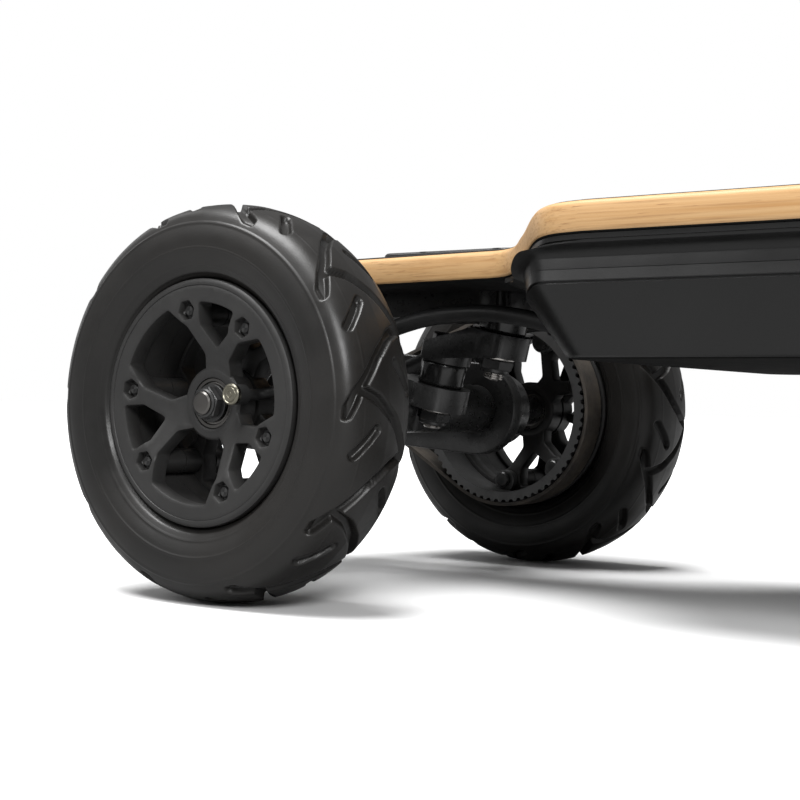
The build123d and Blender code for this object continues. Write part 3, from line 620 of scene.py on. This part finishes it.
def tyre_mesh():
    """Carcass with a tread cut by zigzag and capsule grooves, and fine lines round its sidewalls."""
    along = np.gradient(outside, axis=0)
    along /= np.linalg.norm(along, axis=1, keepdims=True)
    normal = np.column_stack([along[:, 1], -along[:, 0]])
    if normal[len(upper) - 1][0] < 0:
        normal = -normal
    angle = np.arange(columns_per_pitch) * pitch_degrees / columns_per_pitch
    h = np.repeat(outside[None, :, 1], columns_per_pitch, axis=0)
    radius = np.repeat(outside[None, :, 0], columns_per_pitch, axis=0)
    s = np.repeat(angle[:, None] * degree_length, len(outside), axis=1)
    turn = pitch_degrees * degree_length
    depth = np.zeros(h.shape)
    for mirror, shift in ((1, 0.0), (-1, pitch_degrees / 2)):
        for line, width, most in ((zigzag, 4.6, groove_depth), (capsule, 4.4, groove_depth * 0.85)):
            nearest = np.full(h.shape, 1e9)
            for copy in (-1, 0, 1):
                round_way = s - shift * degree_length + copy * turn
                nearest = np.minimum(nearest, distance_to(line, h * mirror, round_way))
            cut = most * ease((width / 2 + 0.25 - nearest) / 0.85)
            depth = np.maximum(depth, cut)
    depth *= ease((radius - 79.6) / 2.6)
    lift = np.zeros(h.shape)
    for place, width, height in ((59.4, 0.32, 0.30), (66.5, 0.34, 0.38), (77.2, 0.38, 0.50)):
        lift += height * np.exp(-((radius - place) / width) ** 2) * (np.abs(h) > 15)
    lift += 0.14 * np.exp(-((np.abs(h) - 13.4) / 0.28) ** 2) * (radius > 80) * (depth < 0.05)
    lift -= 0.5 * np.exp(-((radius - 55.2) / 0.9) ** 2)
    move = lift - depth
    radial = radius + move * normal[None, :, 0]
    height = np.clip(h + move * normal[None, :, 1], -half_width, half_width)
    radial, height = np.tile(radial, (tread_pitches, 1)), np.tile(height, (tread_pitches, 1))
    steps = columns_per_pitch * tread_pitches
    around = np.radians(np.arange(steps) * 360 / steps + groove_start)
    full_r = np.hstack([radial, np.repeat(lining[None, :, 0], steps, axis=0)])
    full_h = np.hstack([height, np.repeat(lining[None, :, 1], steps, axis=0)])
    count = len(outside) + len(lining)
    x, y = full_r * np.cos(around)[:, None], full_r * np.sin(around)[:, None]
    verts = np.stack([x, y, full_h], -1).reshape(-1, 3)
    ring = np.arange(steps)[:, None] * count
    following = (np.arange(steps)[:, None] + 1) % steps * count
    here = np.arange(count)[None, :]
    after = (here + 1) % count
    faces = np.stack([ring + here, ring + after, following + after, following + here], -1).reshape(-1, 4)
    return make_mesh("tyre_with_tread", verts, faces, sharp=0)


tyre_shape = tyre_mesh()
for corner, matrix in hub.items():
    put(f"tread_{corner}", tyre_shape, "tyre", f"{corner}_wheel", matrix, (f"{corner}_tyre",))

# ---- rims ----
arm_angles = (76.2, 196.2, 316.2)
bolt_turn = 24.1
bolt_ring = 40.6
pocket_radius = 4.5
bore_radius = 11.2
plate_radius = 51.0


def arc_points(radius, start, end, step=4.0):
    count = max(2, int(abs(end - start) / step) + 1)
    return [polar(radius, a) for a in np.linspace(start, end, count)]


def small_window(angle):
    corners = arc_points(43.4, angle - 13.6, angle + 13.6) + [polar(33.4, angle + 13.8), polar(24.6, angle),
                                                              polar(33.4, angle - 13.8)]
    radii = [1.3] + [6] * (len(corners) - 5) + [1.3, 1.2, 1.6, 1.2]
    return rounded(corners, radii)


def big_window(angle):
    outer = arc_points(43.8, angle - 22, angle + 22)
    boss = arc_points(15.2, angle + 29, angle - 29, 6)
    corners = (outer + [polar(33.5, angle + 33), polar(21.5, angle + 40.5)] + boss
               + [polar(21.5, angle - 40.5), polar(33.5, angle - 33)])
    radii = [1.5] + [8] * (len(outer) - 2) + [1.5, 3, 3.5, 2] + [6] * (len(boss) - 2) + [2, 3.5, 3]
    return rounded(corners, radii)


def rim_windows():
    windows = []
    for angle in arm_angles:
        windows.append(small_window(angle))
        windows.append(big_window(angle + 60))
    return windows


def bolt_places():
    return [polar(bolt_ring, angle + turn) for angle in arm_angles for turn in (-bolt_turn, bolt_turn)]


def bolt_facing(place):
    """Turn of a hexagon that has a flat towards the hub's middle."""
    return math.degrees(math.atan2(place[1], place[0])) + 30


def dish(low, high):
    """Face height of a hub half: flat boss, sloping arms, flat outer ring."""
    def height(x, y):
        radius = np.hypot(x, y)
        slope = (radius - 15.5) / (36.5 - 15.5)
        return low + (high - low) * np.clip(slope, 0, 1) - 0.5 * np.exp(-((radius - 36.5) / 3) ** 2)
    return height


def rim_shape(low, high, thickness, lip_height):
    pockets = [rounded(hexagon(pocket_radius, spot, bolt_facing(spot)), 0.5, 0.7) for spot in bolt_places()]
    bore = rounded(arc_points(bore_radius, 0, 352, 8), 1, 0.9)
    outer = np.array([polar(plate_radius, a) for a in np.arange(0, 360, 1.5)])
    front = dish(low, high)

    def back(x, y):
        return np.maximum(front(x, y) - thickness, 1.0)

    shape = Shape()
    holes = rim_windows() + pockets + [bore]
    shape.add(*plate(outer, holes, front, back, [(0, 0.9), (0.3, 0.28), (0.9, 0)], 1.5))
    bead = lip_height - 3.4
    shape.add(*lathe([(plate_radius - 0.05, high), (45.4, high - thickness + 0.4), (45.4, 0.1), (49, 0.1),
                      (49, bead), (53.2, bead), (53.7, lip_height - 2.6), (53.75, high - 1.7),
                      (53.45, high - 0.75), (52.7, high - 0.15), (51.9, high + 0.12)], 180))
    wall = bore_radius + 0.05
    shape.add(*lathe([(wall, low - 0.3), (wall, 1.0), (boss_wall, 1.0), (boss_wall, low - 1.0),
                      (boss_wall - 0.7, low - 0.2), (boss_wall - 1.5, low + 0.1)], 96))
    post = [(2.9, 0.3), (5.6, 0.3), (5.6, high - 3), (5.0, high - 2.4), (2.9, high - 5.5)]
    for x, y in bolt_places():
        shape.add(*at(x, y, lathe(post, 28)))
    return shape


boss_wall = 16.0
outer_rim_mesh = rim_shape(11.7, 21.6, 9.0, 20.0).mesh("rim_outer", 32)
inner_half = rim_shape(11.7, 19.9, 9.0, 19.9)
inner_rim_mesh = make_mesh("rim_inner", [(x, y, -z) for x, y, z in inner_half.verts],
                           [f[::-1] for f in inner_half.faces], 32)


def hub_bolts(near):
    """Six bolts through both hub halves, each with a hex nut in its outer pocket and a round head inboard."""
    shape = Shape()
    shank = [(0, near), (2.4, near), (2.45, 18.6), (2.0, 19.2), (0, 19.2)]
    nut = [(0, near - 3.0), (3.6, near - 3.0), (4.2, near - 2.4), (4.2, near), (0, near)]
    for x, y in bolt_places():
        shape.add(*at(x, y, prism(hexagon(4.1, (0, 0), bolt_facing((x, y))), 14.2, 17.6, 0.5)))
        shape.add(*at(x, y, solid_lathe(shank, 20)))
        shape.add(*at(x, y, solid_lathe(nut, 24)))
    return shape


def bearings():
    """Two sealed ball bearings and the spacer between them."""
    shape = Shape()
    for sign in (-1, 1):
        for profile in (
            [(9.3, 5.0), (11.15, 5.0), (11.15, 10.7), (10.8, 11.0), (9.6, 11.0), (9.3, 10.7)],
            [(7.2, 5.5), (9.35, 5.5), (9.35, 10.35), (9.0, 10.5), (7.5, 10.5), (7.2, 10.35)],
            [(5.05, 5.0), (7.1, 5.0), (7.1, 10.8), (6.9, 11.0), (5.3, 11.0), (5.05, 10.7)],
        ):
            verts, faces = lathe(profile, 72)
            shape.add([(x, y, sign * z) for x, y, z in verts], faces, flip=sign < 0)
    shape.add(*lathe([(5.05, -4.9), (6.8, -4.9), (6.8, 4.9), (5.05, 4.9)], 48))
    return shape


bearing_mesh = bearings().mesh("bearing_pair", 30)
bolt_mesh = {
    "front": hub_bolts(-14.0).mesh("hub_bolts_plain", 30),
    "rear": hub_bolts(-25.0).mesh("hub_bolts_driven", 30),
}

# ---- valve ----
valve_angle = 12.0
valve_reach = 19.0


def valve_cap():
    """Knurled collar and plain ringed metal cap on the end of the valve's stem."""
    shape = Shape()
    collar = []
    for k in range(48):
        radius = 4.25 if k % 2 else 4.05
        collar.append(polar(radius, k * 7.5))
    shape.add(*prism(collar, 12.2, 18.2, 0.3))
    shape.add(*solid_lathe([(0, 11.9), (3.4, 11.9), (3.4, 12.4), (3.9, 18.0), (4.45, 18.3), (4.6, 18.9),
                            (4.6, 20.1), (4.25, 20.6), (3.7, 20.75), (3.45, 20.5), (3.15, 20.5),
                            (2.95, 20.8), (1.6, 20.85), (1.45, 20.6), (1.1, 20.6), (0.95, 20.85),
                            (0, 20.9)], 64))
    return Shape().add(*at(*polar(valve_reach, valve_angle), (shape.verts, shape.faces)))


cap_mesh = valve_cap().mesh("valve_cap", 30)
for end_name, end in ends:
    for side_name, side in sides:
        corner = f"{end_name}_{side_name}"
        for name, mesh, finish, slot, stands_for in (
            ("outer_hub", outer_rim_mesh, "hub_plastic", "hub_plastic", ("outer_rim",)),
            ("inner_hub", inner_rim_mesh, "hub_plastic", "hub_plastic", ("inner_rim",)),
            ("bearings", bearing_mesh, "dark_steel", "steel", ("hub_hardware",)),
            ("hub_bolts", bolt_mesh[end_name], "bolt_black", "steel", ()),
            ("valve_cap", cap_mesh, "brass", "steel", ()),
        ):
            replaced = [f"{corner}_{node}" for node in stands_for]
            put(f"{name}_{corner}", mesh, finish, f"{corner}_wheel", hub[corner], replaced)
        keep_node(f"{corner}_inner_tube", "tube_rubber")

# ---- axles ----
axle_reach = 122.0
axle_root = 22.0
axle_threads = []
for step in range(9):
    foot = 11.0 + step * 0.8
    axle_threads += [(5.0, foot), (5.0, foot + 0.28), (4.55, foot + 0.4), (4.55, foot + 0.55)]
axle_outline = ([(0, axle_root - axle_reach), (5.0, axle_root - axle_reach)] + axle_threads
                + [(5.0, 18.0), (4.3, 18.55), (3.9, 18.6), (0, 18.45)])
collar = [(5.05, 16.2), (6.4, 16.2), (6.3, 17.0), (5.6, 17.5), (5.05, 17.4)]
axle_washer = [(5.05, 11.1), (8.2, 11.1), (8.4, 11.3), (8.4, 12.2), (8.2, 12.45), (5.05, 12.45)]
for end_name, end in ends:
    steel_part, nut_part = Shape(), Shape()
    for side_name, side in sides:
        matrix = hub[f"{end_name}_{side_name}"].copy()
        matrix.translation = matrix.translation / mm
        steel_part.add(*turned(solid_lathe(axle_outline, 48), matrix))
        nut_part.add(*turned(prism(hexagon(7.45, (0, 0), 12), 12.5, 16.4, 0.45), matrix))
        nut_part.add(*turned(lathe(collar, 48), matrix))
        nut_part.add(*turned(lathe(axle_washer, 64), matrix))
    put(f"axle_shafts_{end_name}", steel_part.mesh(f"axle_shafts_{end_name}", 30), "dark_steel",
        f"{end_name}_axle_carrier", None, (f"{end_name}_axles",))
    put(f"axle_nuts_{end_name}", nut_part.mesh(f"axle_nuts_{end_name}", 30), "bolt_black",
        f"{end_name}_axle_carrier")

# ---- deck ----
deck_low, deck_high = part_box("deck")
deck_half_length = deck_high.x / mm
deck_half_width = deck_high.y / mm
neck_bottom = deck_low.z / mm
deck_thickness = 13.0
rail_rise = 12.5
rail_slope = 0.22
concave_start = 42.0
half_base = hub["front_right"].translation.x / mm
neck_half_width = 61.0
bend_start = half_base - 168
truck_bolt_rows = (28.0, 70.0)
truck_bolt_side = 22.0
bolt_hole_radius = 3.2
grip_thickness = 1.2


def deck_quarter(inset, step=3.0):
    """One quarter of the deck's plan: wide middle, S-curve, narrow tail with a blunt end."""
    neck, wide = neck_half_width - inset, deck_half_width - inset
    length = deck_half_length - inset
    bend = catmull([(half_base - 190, wide), (bend_start, wide), (half_base - 146, wide - 6),
                    (half_base - 121, (neck + wide) / 2 - 4), (half_base - 100, neck + 4),
                    (half_base - 78, neck), (half_base - 50, neck - 1.8)], 10)[10:-10]
    tail_x, tail_y = half_base + 60, neck - 9
    finish = []
    for t in np.linspace(0, 1, 12)[1:]:
        finish.append((tail_x + (length - tail_x) * math.sin(t * math.pi / 2) ** 0.85,
                       tail_y * math.cos(t * math.pi / 2)))
    return resample(np.vstack([[(0, wide)], bend, [(tail_x, tail_y)], finish]), step)


def mirrored(quarter):
    """Closed outline, anticlockwise, from a quarter that runs from the +Y axis to the +X axis."""
    upper_half = np.vstack([quarter[::-1], (quarter * (-1, 1))[1:]])
    return np.vstack([upper_half, (upper_half * (1, -1))[::-1][1:-1]])


def deck_outline(inset, step=3.0):
    return mirrored(deck_quarter(inset, step))


def rise(y):
    """How far the deck curves up at a distance from its middle line."""
    edge_y = deck_half_width + 6
    edge_rise = rail_rise + 6 * rail_slope
    middle_y = (concave_start + deck_half_width) / 2
    places = catmull([(concave_start - 30, 0), (concave_start, 0), (middle_y, rail_rise * 0.40),
                      (edge_y, edge_rise)], 24)
    return np.interp(np.abs(y), places[:, 0], places[:, 1])


def grain_attribute(mesh):
    """Stores how far along, across and up the board each point is, following the deck's concave."""
    count = len(mesh.vertices)
    co = np.zeros(count * 3)
    mesh.vertices.foreach_get("co", co)
    co = co.reshape(-1, 3)
    where = np.column_stack([co[:, 0], co[:, 1], co[:, 2] - (neck_bottom + rise(co[:, 1] / mm)) * mm])
    attribute = mesh.attributes.new("grain", "FLOAT_VECTOR", "POINT")
    attribute.data.foreach_set("vector", where.astype(np.float32).ravel())


bolt_holes = []
for end_name, end in ends:
    for row in truck_bolt_rows:
        for side in (-1, 1):
            place = (end * (half_base - row), side * truck_bolt_side)
            bolt_holes.append(circle_points(bolt_hole_radius, place))


def under_deck(x, y):
    return neck_bottom + rise(y)


def on_deck(lift):
    return lambda x, y: under_deck(x, y) + deck_thickness + lift


deck_shape = Shape()
deck_shape.add(*plate(
    deck_outline(0, step=2.5), bolt_holes, on_deck(0), under_deck, rounding(3.2, 4), 7.0, rounding(1.4, 2)))
deck_mesh = deck_shape.mesh("deck_bamboo", 50)
grain_attribute(deck_mesh)
deck_mesh.materials.append(mat["bamboo"])
deck_mesh.materials.append(mat["deck_paint"])
for face in deck_mesh.polygons:
    if face.normal.z < -0.75 and face.center.z < (neck_bottom + 14) * mm:
        face.material_index = 1
put("bamboo_deck", deck_mesh, "bamboo", "board", None, ("deck",))
grip_shape = Shape()
grip_shape.add(*plate(
    deck_outline(5), bolt_holes, on_deck(grip_thickness), on_deck(0.02),
    [(0, 0.25), (0.25, 0)], 7.0, [(0, 0)]))
put("grip_sheet", grip_shape.mesh("grip_sheet", 40), "grip", "board", None, ("grip_tape",))

# ---- battery case ----
case_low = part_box("enclosure")[0].z / mm
flange_reach = half_base - 96


side_count, bend_count, end_count = 70, 22, 24
# height, half length, half width and corner radius of the wall, from its foot up to the cove
case_levels = [
    (108.0, 213.8, 107.8, 12.5), (108.1, 215.3, 109.3, 14), (108.5, 216.6, 110.6, 15),
    (109.3, 217.6, 111.6, 15.7), (110.6, 218.5, 112.1, 16), (112.5, 219.7, 112.5, 16),
    (136.7, 236.6, 116.5, 16), (137.0, 236.4, 116.2, 16), (137.1, 236.0, 115.7, 16),
    (137.7, 236.1, 115.7, 16), (137.8, 236.6, 116.2, 16), (138.2, 236.8, 116.35, 16),
    (142.3, 238.2, 115.5, 16), (142.6, 238.2, 115.2, 16), (146.6, 239.8, 114.65, 16),
    (147.0, 240.0, 114.55, 16), (147.4, 240.4, 114.6, 16), (148.5, 241.6, 115.2, 16),
    (149.6, 243.2, 116.2, 16), (150.5, 245.0, 117.3, 16),
]
waist_high = 151.1
lip_thickness = 4.5
case_extra = 12
case_extra_slope = 0.1
button_opening = 7.3
port_opening = 8.0


def block_quarter(length, width, corner):
    points = [(x, width) for x in np.linspace(0, length - corner, side_count, endpoint=False)]
    for turn in np.linspace(math.pi / 2, 0, bend_count, endpoint=False):
        points.append((length - corner + corner * math.cos(turn), width - corner + corner * math.sin(turn)))
    points.extend([(length, y) for y in np.linspace(width - corner, 0, end_count)])
    return np.array(points)


def lip_quarter(inset):
    """The deck's outline, inset a little and cut square near the trucks, split up as block_quarter is."""
    quarter = deck_quarter(inset, 1.0)
    reach = flange_reach - inset
    xs = np.concatenate([np.linspace(0, bend_start, side_count, endpoint=False),
                         np.linspace(bend_start, reach, bend_count, endpoint=False)])
    ys = np.interp(xs, quarter[:, 0], quarter[:, 1])
    end_y = float(np.interp(reach, quarter[:, 0], quarter[:, 1]))
    return np.vstack([np.column_stack([xs, ys]), [(reach, y) for y in np.linspace(end_y, 0, end_count)]])


def case_mesh():
    """Wall that leans outward, a parting groove, a waist, and a cove that runs out to the lip."""
    lip = mirrored(lip_quarter(1.2))
    under = neck_bottom + rise(lip[:, 1]) - lip_thickness
    squeeze = (under - case_low) / (waist_high - case_low)
    rings = []
    for height, length, width, corner in case_levels:
        longer = length + case_extra - case_extra_slope * (height - case_low)
        loop = mirrored(block_quarter(longer, width, corner))
        rings.append((loop, case_low + (height - case_low) * squeeze))
    cove, cove_height = rings[-1]
    for part, lift in ((0.35, 0.25), (0.7, 0.62)):
        rings.append((cove + (lip - cove) * part, cove_height + (under + 1.8 - cove_height) * lift))
    for inset, lift in ((2.0, 2.0), (1.3, 2.2), (1.2, 2.6), (1.2, 4.1), (1.6, 4.35), (6.0, 3.6)):
        rings.append((mirrored(lip_quarter(inset)), under + lift))
    rings.append((mirrored(block_quarter(205, 98, 14)), 134.0))
    count = len(lip)
    verts, faces = [], []
    for points, heights in rings:
        verts.extend(np.column_stack([points, np.broadcast_to(heights, (count,))]).tolist())
    for level in range(len(rings) - 1):
        for i in range(count):
            j = (i + 1) % count
            a, b = level * count, (level + 1) * count
            faces.append([a + i, a + j, b + j, b + i])
    faces.append(list(range(count))[::-1])
    faces.append([(len(rings) - 1) * count + i for i in range(count)])
    mesh = Shape().add(verts, faces).mesh("case_shell", 26)
    mesh.materials.append(mat["case_plastic"])
    mesh.materials.append(mat["case_underside_painted_shade"])
    # Flat bottom faces get the painted-shade finish.
    for face in mesh.polygons:
        if face.normal.z < -0.9 and face.center.z < (case_low + 0.4) * mm:
            face.material_index = 1
    return mesh


def opened(mesh, openings):
    """The case with a round opening in its wall for each control."""
    wall = new_object("case_before_cutting", mesh)
    cutters = []
    for node, radius in openings:
        low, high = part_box(node)
        drill = solid_lathe([(0, -1), (radius, -1), (radius, 22), (0, 22)], 64)
        foot = ((low.x + high.x) / 2 / mm, low.y / mm, (low.z + high.z) / 2 / mm)
        drill = turned(drill, axes((1, 0, 0), (0, 0, -1), (0, 1, 0), foot))
        cutter = new_object(f"{node}_opening", make_mesh(f"{node}_opening", *drill))
        cutters.append(cutter)
        modifier = wall.modifiers.new("opening", "BOOLEAN")
        modifier.operation = "DIFFERENCE"
        modifier.solver = "EXACT"
        modifier.object = cutter
    graph = bpy.context.evaluated_depsgraph_get()
    cut = bpy.data.meshes.new_from_object(wall.evaluated_get(graph))
    for spare in [wall] + cutters:
        bpy.data.objects.remove(spare)
    cut.set_sharp_from_angle(angle=math.radians(26))
    return cut


case_shell = opened(case_mesh(), (("power_button", button_opening), ("charge_port", port_opening)))
put("battery_case", case_shell, "case_plastic", "board", None, ("enclosure",))

# ---- metal parts from the frame, with broken edges ----
softened("top_plates", "plate_black", "board", 0.5)
for end_name, _ in ends:
    for node, body in (("baseplate", "board"), ("hanger", "axle_carrier"), ("link", "link_arm")):
        full = body if body == "board" else f"{end_name}_{body}"
        softened(f"{end_name}_{node}", "truck_black", full, 0.9)
for side_name, _ in sides:
    softened(f"{side_name}_motor_mount", "truck_black", "rear_axle_carrier", 1.0)
    softened(f"{side_name}_motor", "motor_can", "rear_axle_carrier", 0.5)

# ---- kingpins and bushings ----
kingpin_tilt = math.radians(13.0)
upper_reach, lower_reach = 47.4, 17.9
axle_height = hub["rear_right"].translation.z / mm


def pin_matrix(end, reach):
    """Frame with Z up along the kingpins of one truck, `reach` inboard of the axle line."""
    across = Vector((-end * math.cos(kingpin_tilt), 0, -math.sin(kingpin_tilt)))
    up = Vector((-end * math.sin(kingpin_tilt), 0, math.cos(kingpin_tilt)))
    return axes(across, up.cross(across), up, Vector((end * half_base, 0, axle_height)) + across * reach)


def threads(radius, low, high, pitch=1.25):
    """Outline of a threaded length, from low to high."""
    outline = []
    for k in range(int((high - low) / pitch)):
        z = low + k * pitch
        outline += [(radius, z), (radius, z + pitch * 0.25)]
        outline += [(radius - 0.55, z + pitch * 0.6), (radius - 0.55, z + pitch * 0.75)]
    return outline


def kingpin(name, body, matrix, tip, top, washer_top, head=None):
    """Threaded pin with a washer and a lock nut below, and a hex head when `head` gives its foot."""
    pin, nut = Shape(), Shape()
    outline = [(0, tip), (3.9, tip), (4.4, tip + 0.5)] + threads(5.0, tip + 0.8, washer_top)
    pin.add(*solid_lathe(outline + [(5.0, top), (0, top)], 40))
    pin.add(*lathe([(5.05, washer_top - 1.3), (8.7, washer_top - 1.3), (9.0, washer_top - 1.0),
                    (9.0, washer_top - 0.3), (8.7, washer_top), (5.05, washer_top)], 56))
    nut_top = washer_top - 1.35
    nut.add(*prism(hexagon(8.6, (0, 0), 15), nut_top - 5.2, nut_top, 0.7))
    nut.add(*lathe([(5.05, nut_top - 7.0), (6.4, nut_top - 7.0), (7.1, nut_top - 6.4), (7.2, nut_top - 5.0),
                    (5.05, nut_top - 5.0)], 48))
    if head is not None:
        nut.add(*prism(hexagon(9.2, (0, 0), 15), head, head + 5.0, 0.8))
    for shape in (pin, nut):
        shape.verts = moved(shape.verts, matrix)
    put(f"{name}_pin", pin.mesh(f"{name}_pin", 30), "steel", body, None, (name,))
    put(f"{name}_nut", nut.mesh(f"{name}_nut", 30), "bolt_black", body)


def bushing(name, body, matrix, low, high):
    """Barrel of urethane with rounded rims and a slight waist where it is squeezed."""
    length = high - low
    shape = Shape().add(*lathe([(5.3, low + 0.02), (10.6, low + 0.02), (11.3, low + 0.5), (11.65, low + 1.6),
                                (11.5, low + length * 0.5), (11.65, high - 1.6), (11.3, high - 0.5),
                                (10.6, high - 0.02), (5.3, high - 0.02)], 72))
    shape.verts = moved(shape.verts, matrix)
    put(f"{name}_barrel", shape.mesh(f"{name}_barrel", 50), "urethane", body, None, (name,))


for end_name, end in ends:
    upper, lower = pin_matrix(end, upper_reach), pin_matrix(end, lower_reach)
    kingpin(f"{end_name}_upper_kingpin", "board", upper, 26.0, 66.0, 37.9)
    kingpin(f"{end_name}_lower_kingpin", f"{end_name}_link_arm", lower, -6.0, 39.0, 4.2, 37.0)
    bushing(f"{end_name}_upper_bushing", "board", upper, 49.5, 61.0)
    bushing(f"{end_name}_lower_bushing", f"{end_name}_link_arm", lower, 16.1, 28.1)

# ---- motor cables, from inside the case to the motor, in two overlapping lengths on each side ----
# distance inboard of the rear axle, distance from the board's middle line, and height
cable_points = [(138, 30, 121), (116, 32, 123.5), (94, 35.5, 129), (70, 38.5, 132), (40, 39.5, 130),
                (12, 39.5, 123), (-16, 41, 113.5), (-40, 44.5, 106.5), (-58.8, 46, 104)]


cable_split = (4, 10)
cable_radius = 4.0
boot_radius = 4.5
boot_start = -40


def cable_piece(name, side, line, radius, replaced):
    """Length of cable along one stretch of the line, on one side; it rides on no body."""
    shape = Shape().add(*tube([(x - half_base, side * y, z) for x, y, z in line], radius, 24))
    piece = put(name, shape.mesh(name, 40), "cable_jacket", None, None, replaced)
    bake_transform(piece)


for side_name, side in sides:
    line = resample(catmull(cable_points, 20), 1.2)
    ridges = (line[:, 0] < boot_start) & ((line[:, 0] * 0.8).astype(int) % 2 == 0)
    sheath = np.where(ridges, boot_radius, cable_radius)
    board_half = line[:, 0] >= cable_split[0]
    wheel_half = line[:, 0] <= cable_split[1]
    cable_piece(f"{side_name}_cable_front", side, line[board_half], sheath[board_half],
                ("motor_cables",))
    cable_piece(f"{side_name}_cable_back", side, line[wheel_half], sheath[wheel_half],
                ())

finish_of = {
    "truck_bolts": "bolt_black", "case_screws": "bolt_black", "battery_pack": "battery_wrap",
    "motor_controller": "heat_sink", "power_button": "button_metal", "charge_port": "bolt_black",
    "drive_pulley": "pulley_metal", "belt": "belt_rubber", "pinion": "steel", "rotor": "steel",
}
for node in nodes:
    for ending, finish in finish_of.items():
        if node.endswith(ending) and not nodes[node].hide_render:
            keep_node(node, finish)

# ---- floor, light and camera ----
def camera_only(tree, others, seen, output):
    """Camera rays get the shader `seen`; light that bounces gets `others`."""
    ray = tree.nodes.new("ShaderNodeLightPath")
    choose = tree.nodes.new("ShaderNodeMixShader")
    tree.links.new(ray.outputs["Is Camera Ray"], choose.inputs["Fac"])
    tree.links.new(others, choose.inputs[1])
    tree.links.new(seen, choose.inputs[2])
    tree.links.new(choose.outputs["Shader"], tree.nodes[output].inputs["Surface"])


floor_mesh = bpy.data.meshes.new("floor")
floor_mesh.from_pydata([(-30, -30, 0), (30, -30, 0), (30, 30, 0), (-30, 30, 0)], [], [(0, 1, 2, 3)])
floor = new_object("floor", floor_mesh)
floor_material, floor_tree, floor_shader = node_tree("floor_white")
floor_shader.inputs["Base Color"].default_value = (0.9, 0.9, 0.9, 1)
floor_shader.inputs["Roughness"].default_value = 0.9
floor_shader.inputs["Specular IOR Level"].default_value = 0.0
floor_dim = add_node(floor_tree, "ShaderNodeBsdfDiffuse", Color=(0.28, 0.28, 0.28, 1))
camera_only(floor_tree, floor_dim.outputs["BSDF"], floor_shader.outputs["BSDF"], "Material Output")
floor_mesh.materials.append(floor_material)

world = bpy.data.worlds.new("studio")
bpy.context.scene.world = world
world.use_nodes = True
tree = world.node_tree
background = tree.nodes["Background"]
background.inputs["Color"].default_value = (1, 1, 1, 1)
background.inputs["Strength"].default_value = 0.24
seen = add_node(tree, "ShaderNodeBackground", Color=(1, 1, 1, 1), Strength=1.0)
camera_only(tree, background.outputs["Background"], seen.outputs["Background"], "World Output")


def lamp(name, kind, energy, place, target, size):
    """Sun of `size` degrees across, or a rectangular panel with a (width, height)."""
    data = bpy.data.lights.new(name, kind)
    data.energy = energy
    if kind == "AREA":
        data.shape = "RECTANGLE"
        data.size, data.size_y = size
    else:
        data.angle = math.radians(size)
    light = new_object(name, data)
    light.location = place
    light.rotation_euler = (Vector(target) - Vector(place)).to_track_quat("-Z", "Y").to_euler()


lamp("overhead", "SUN", 5.6, (-0.6, -0.9, 4.0), (0, 0, 0), 40)
lamp("front_left", "AREA", 5.0, (-1.3, -1.5, 1.1), (-0.35, 0, 0.1), (0.9, 0.9))
lamp("left_strip", "AREA", 1.5, (-1.6, 0.2, 0.7), (-0.38, 0, 0.1), (0.4, 1.2))
lamp("front_right", "AREA", 20.0, (0.85, -1.1, 0.9), (-0.35, -0.05, 0.1), (0.5, 0.5))

camera_data = bpy.data.cameras.new("photo_camera")
camera_data.sensor_width = 36
camera_data.lens = 69.07
camera_data.shift_x = -0.001
camera_data.shift_y = 0.0066
camera_data.clip_start = 0.01
camera = new_object("photo_camera", camera_data)
yaw, pitch, roll = 0.6262, 0.0011, 0.0212
ahead = Vector((-math.sin(yaw) * math.cos(pitch), math.cos(yaw) * math.cos(pitch), math.sin(pitch)))
right = ahead.cross(Vector((0, 0, 1))).normalized()
up = right.cross(ahead)
tilted_right = right * math.cos(roll) + up * math.sin(roll)
tilted_up = -right * math.sin(roll) + up * math.cos(roll)
camera.matrix_world = axes(tilted_right, tilted_up, -ahead, (0.07805, -0.63757, 0.0876))
bpy.context.scene.camera = camera
bpy.context.scene.view_settings.view_transform = "Standard"
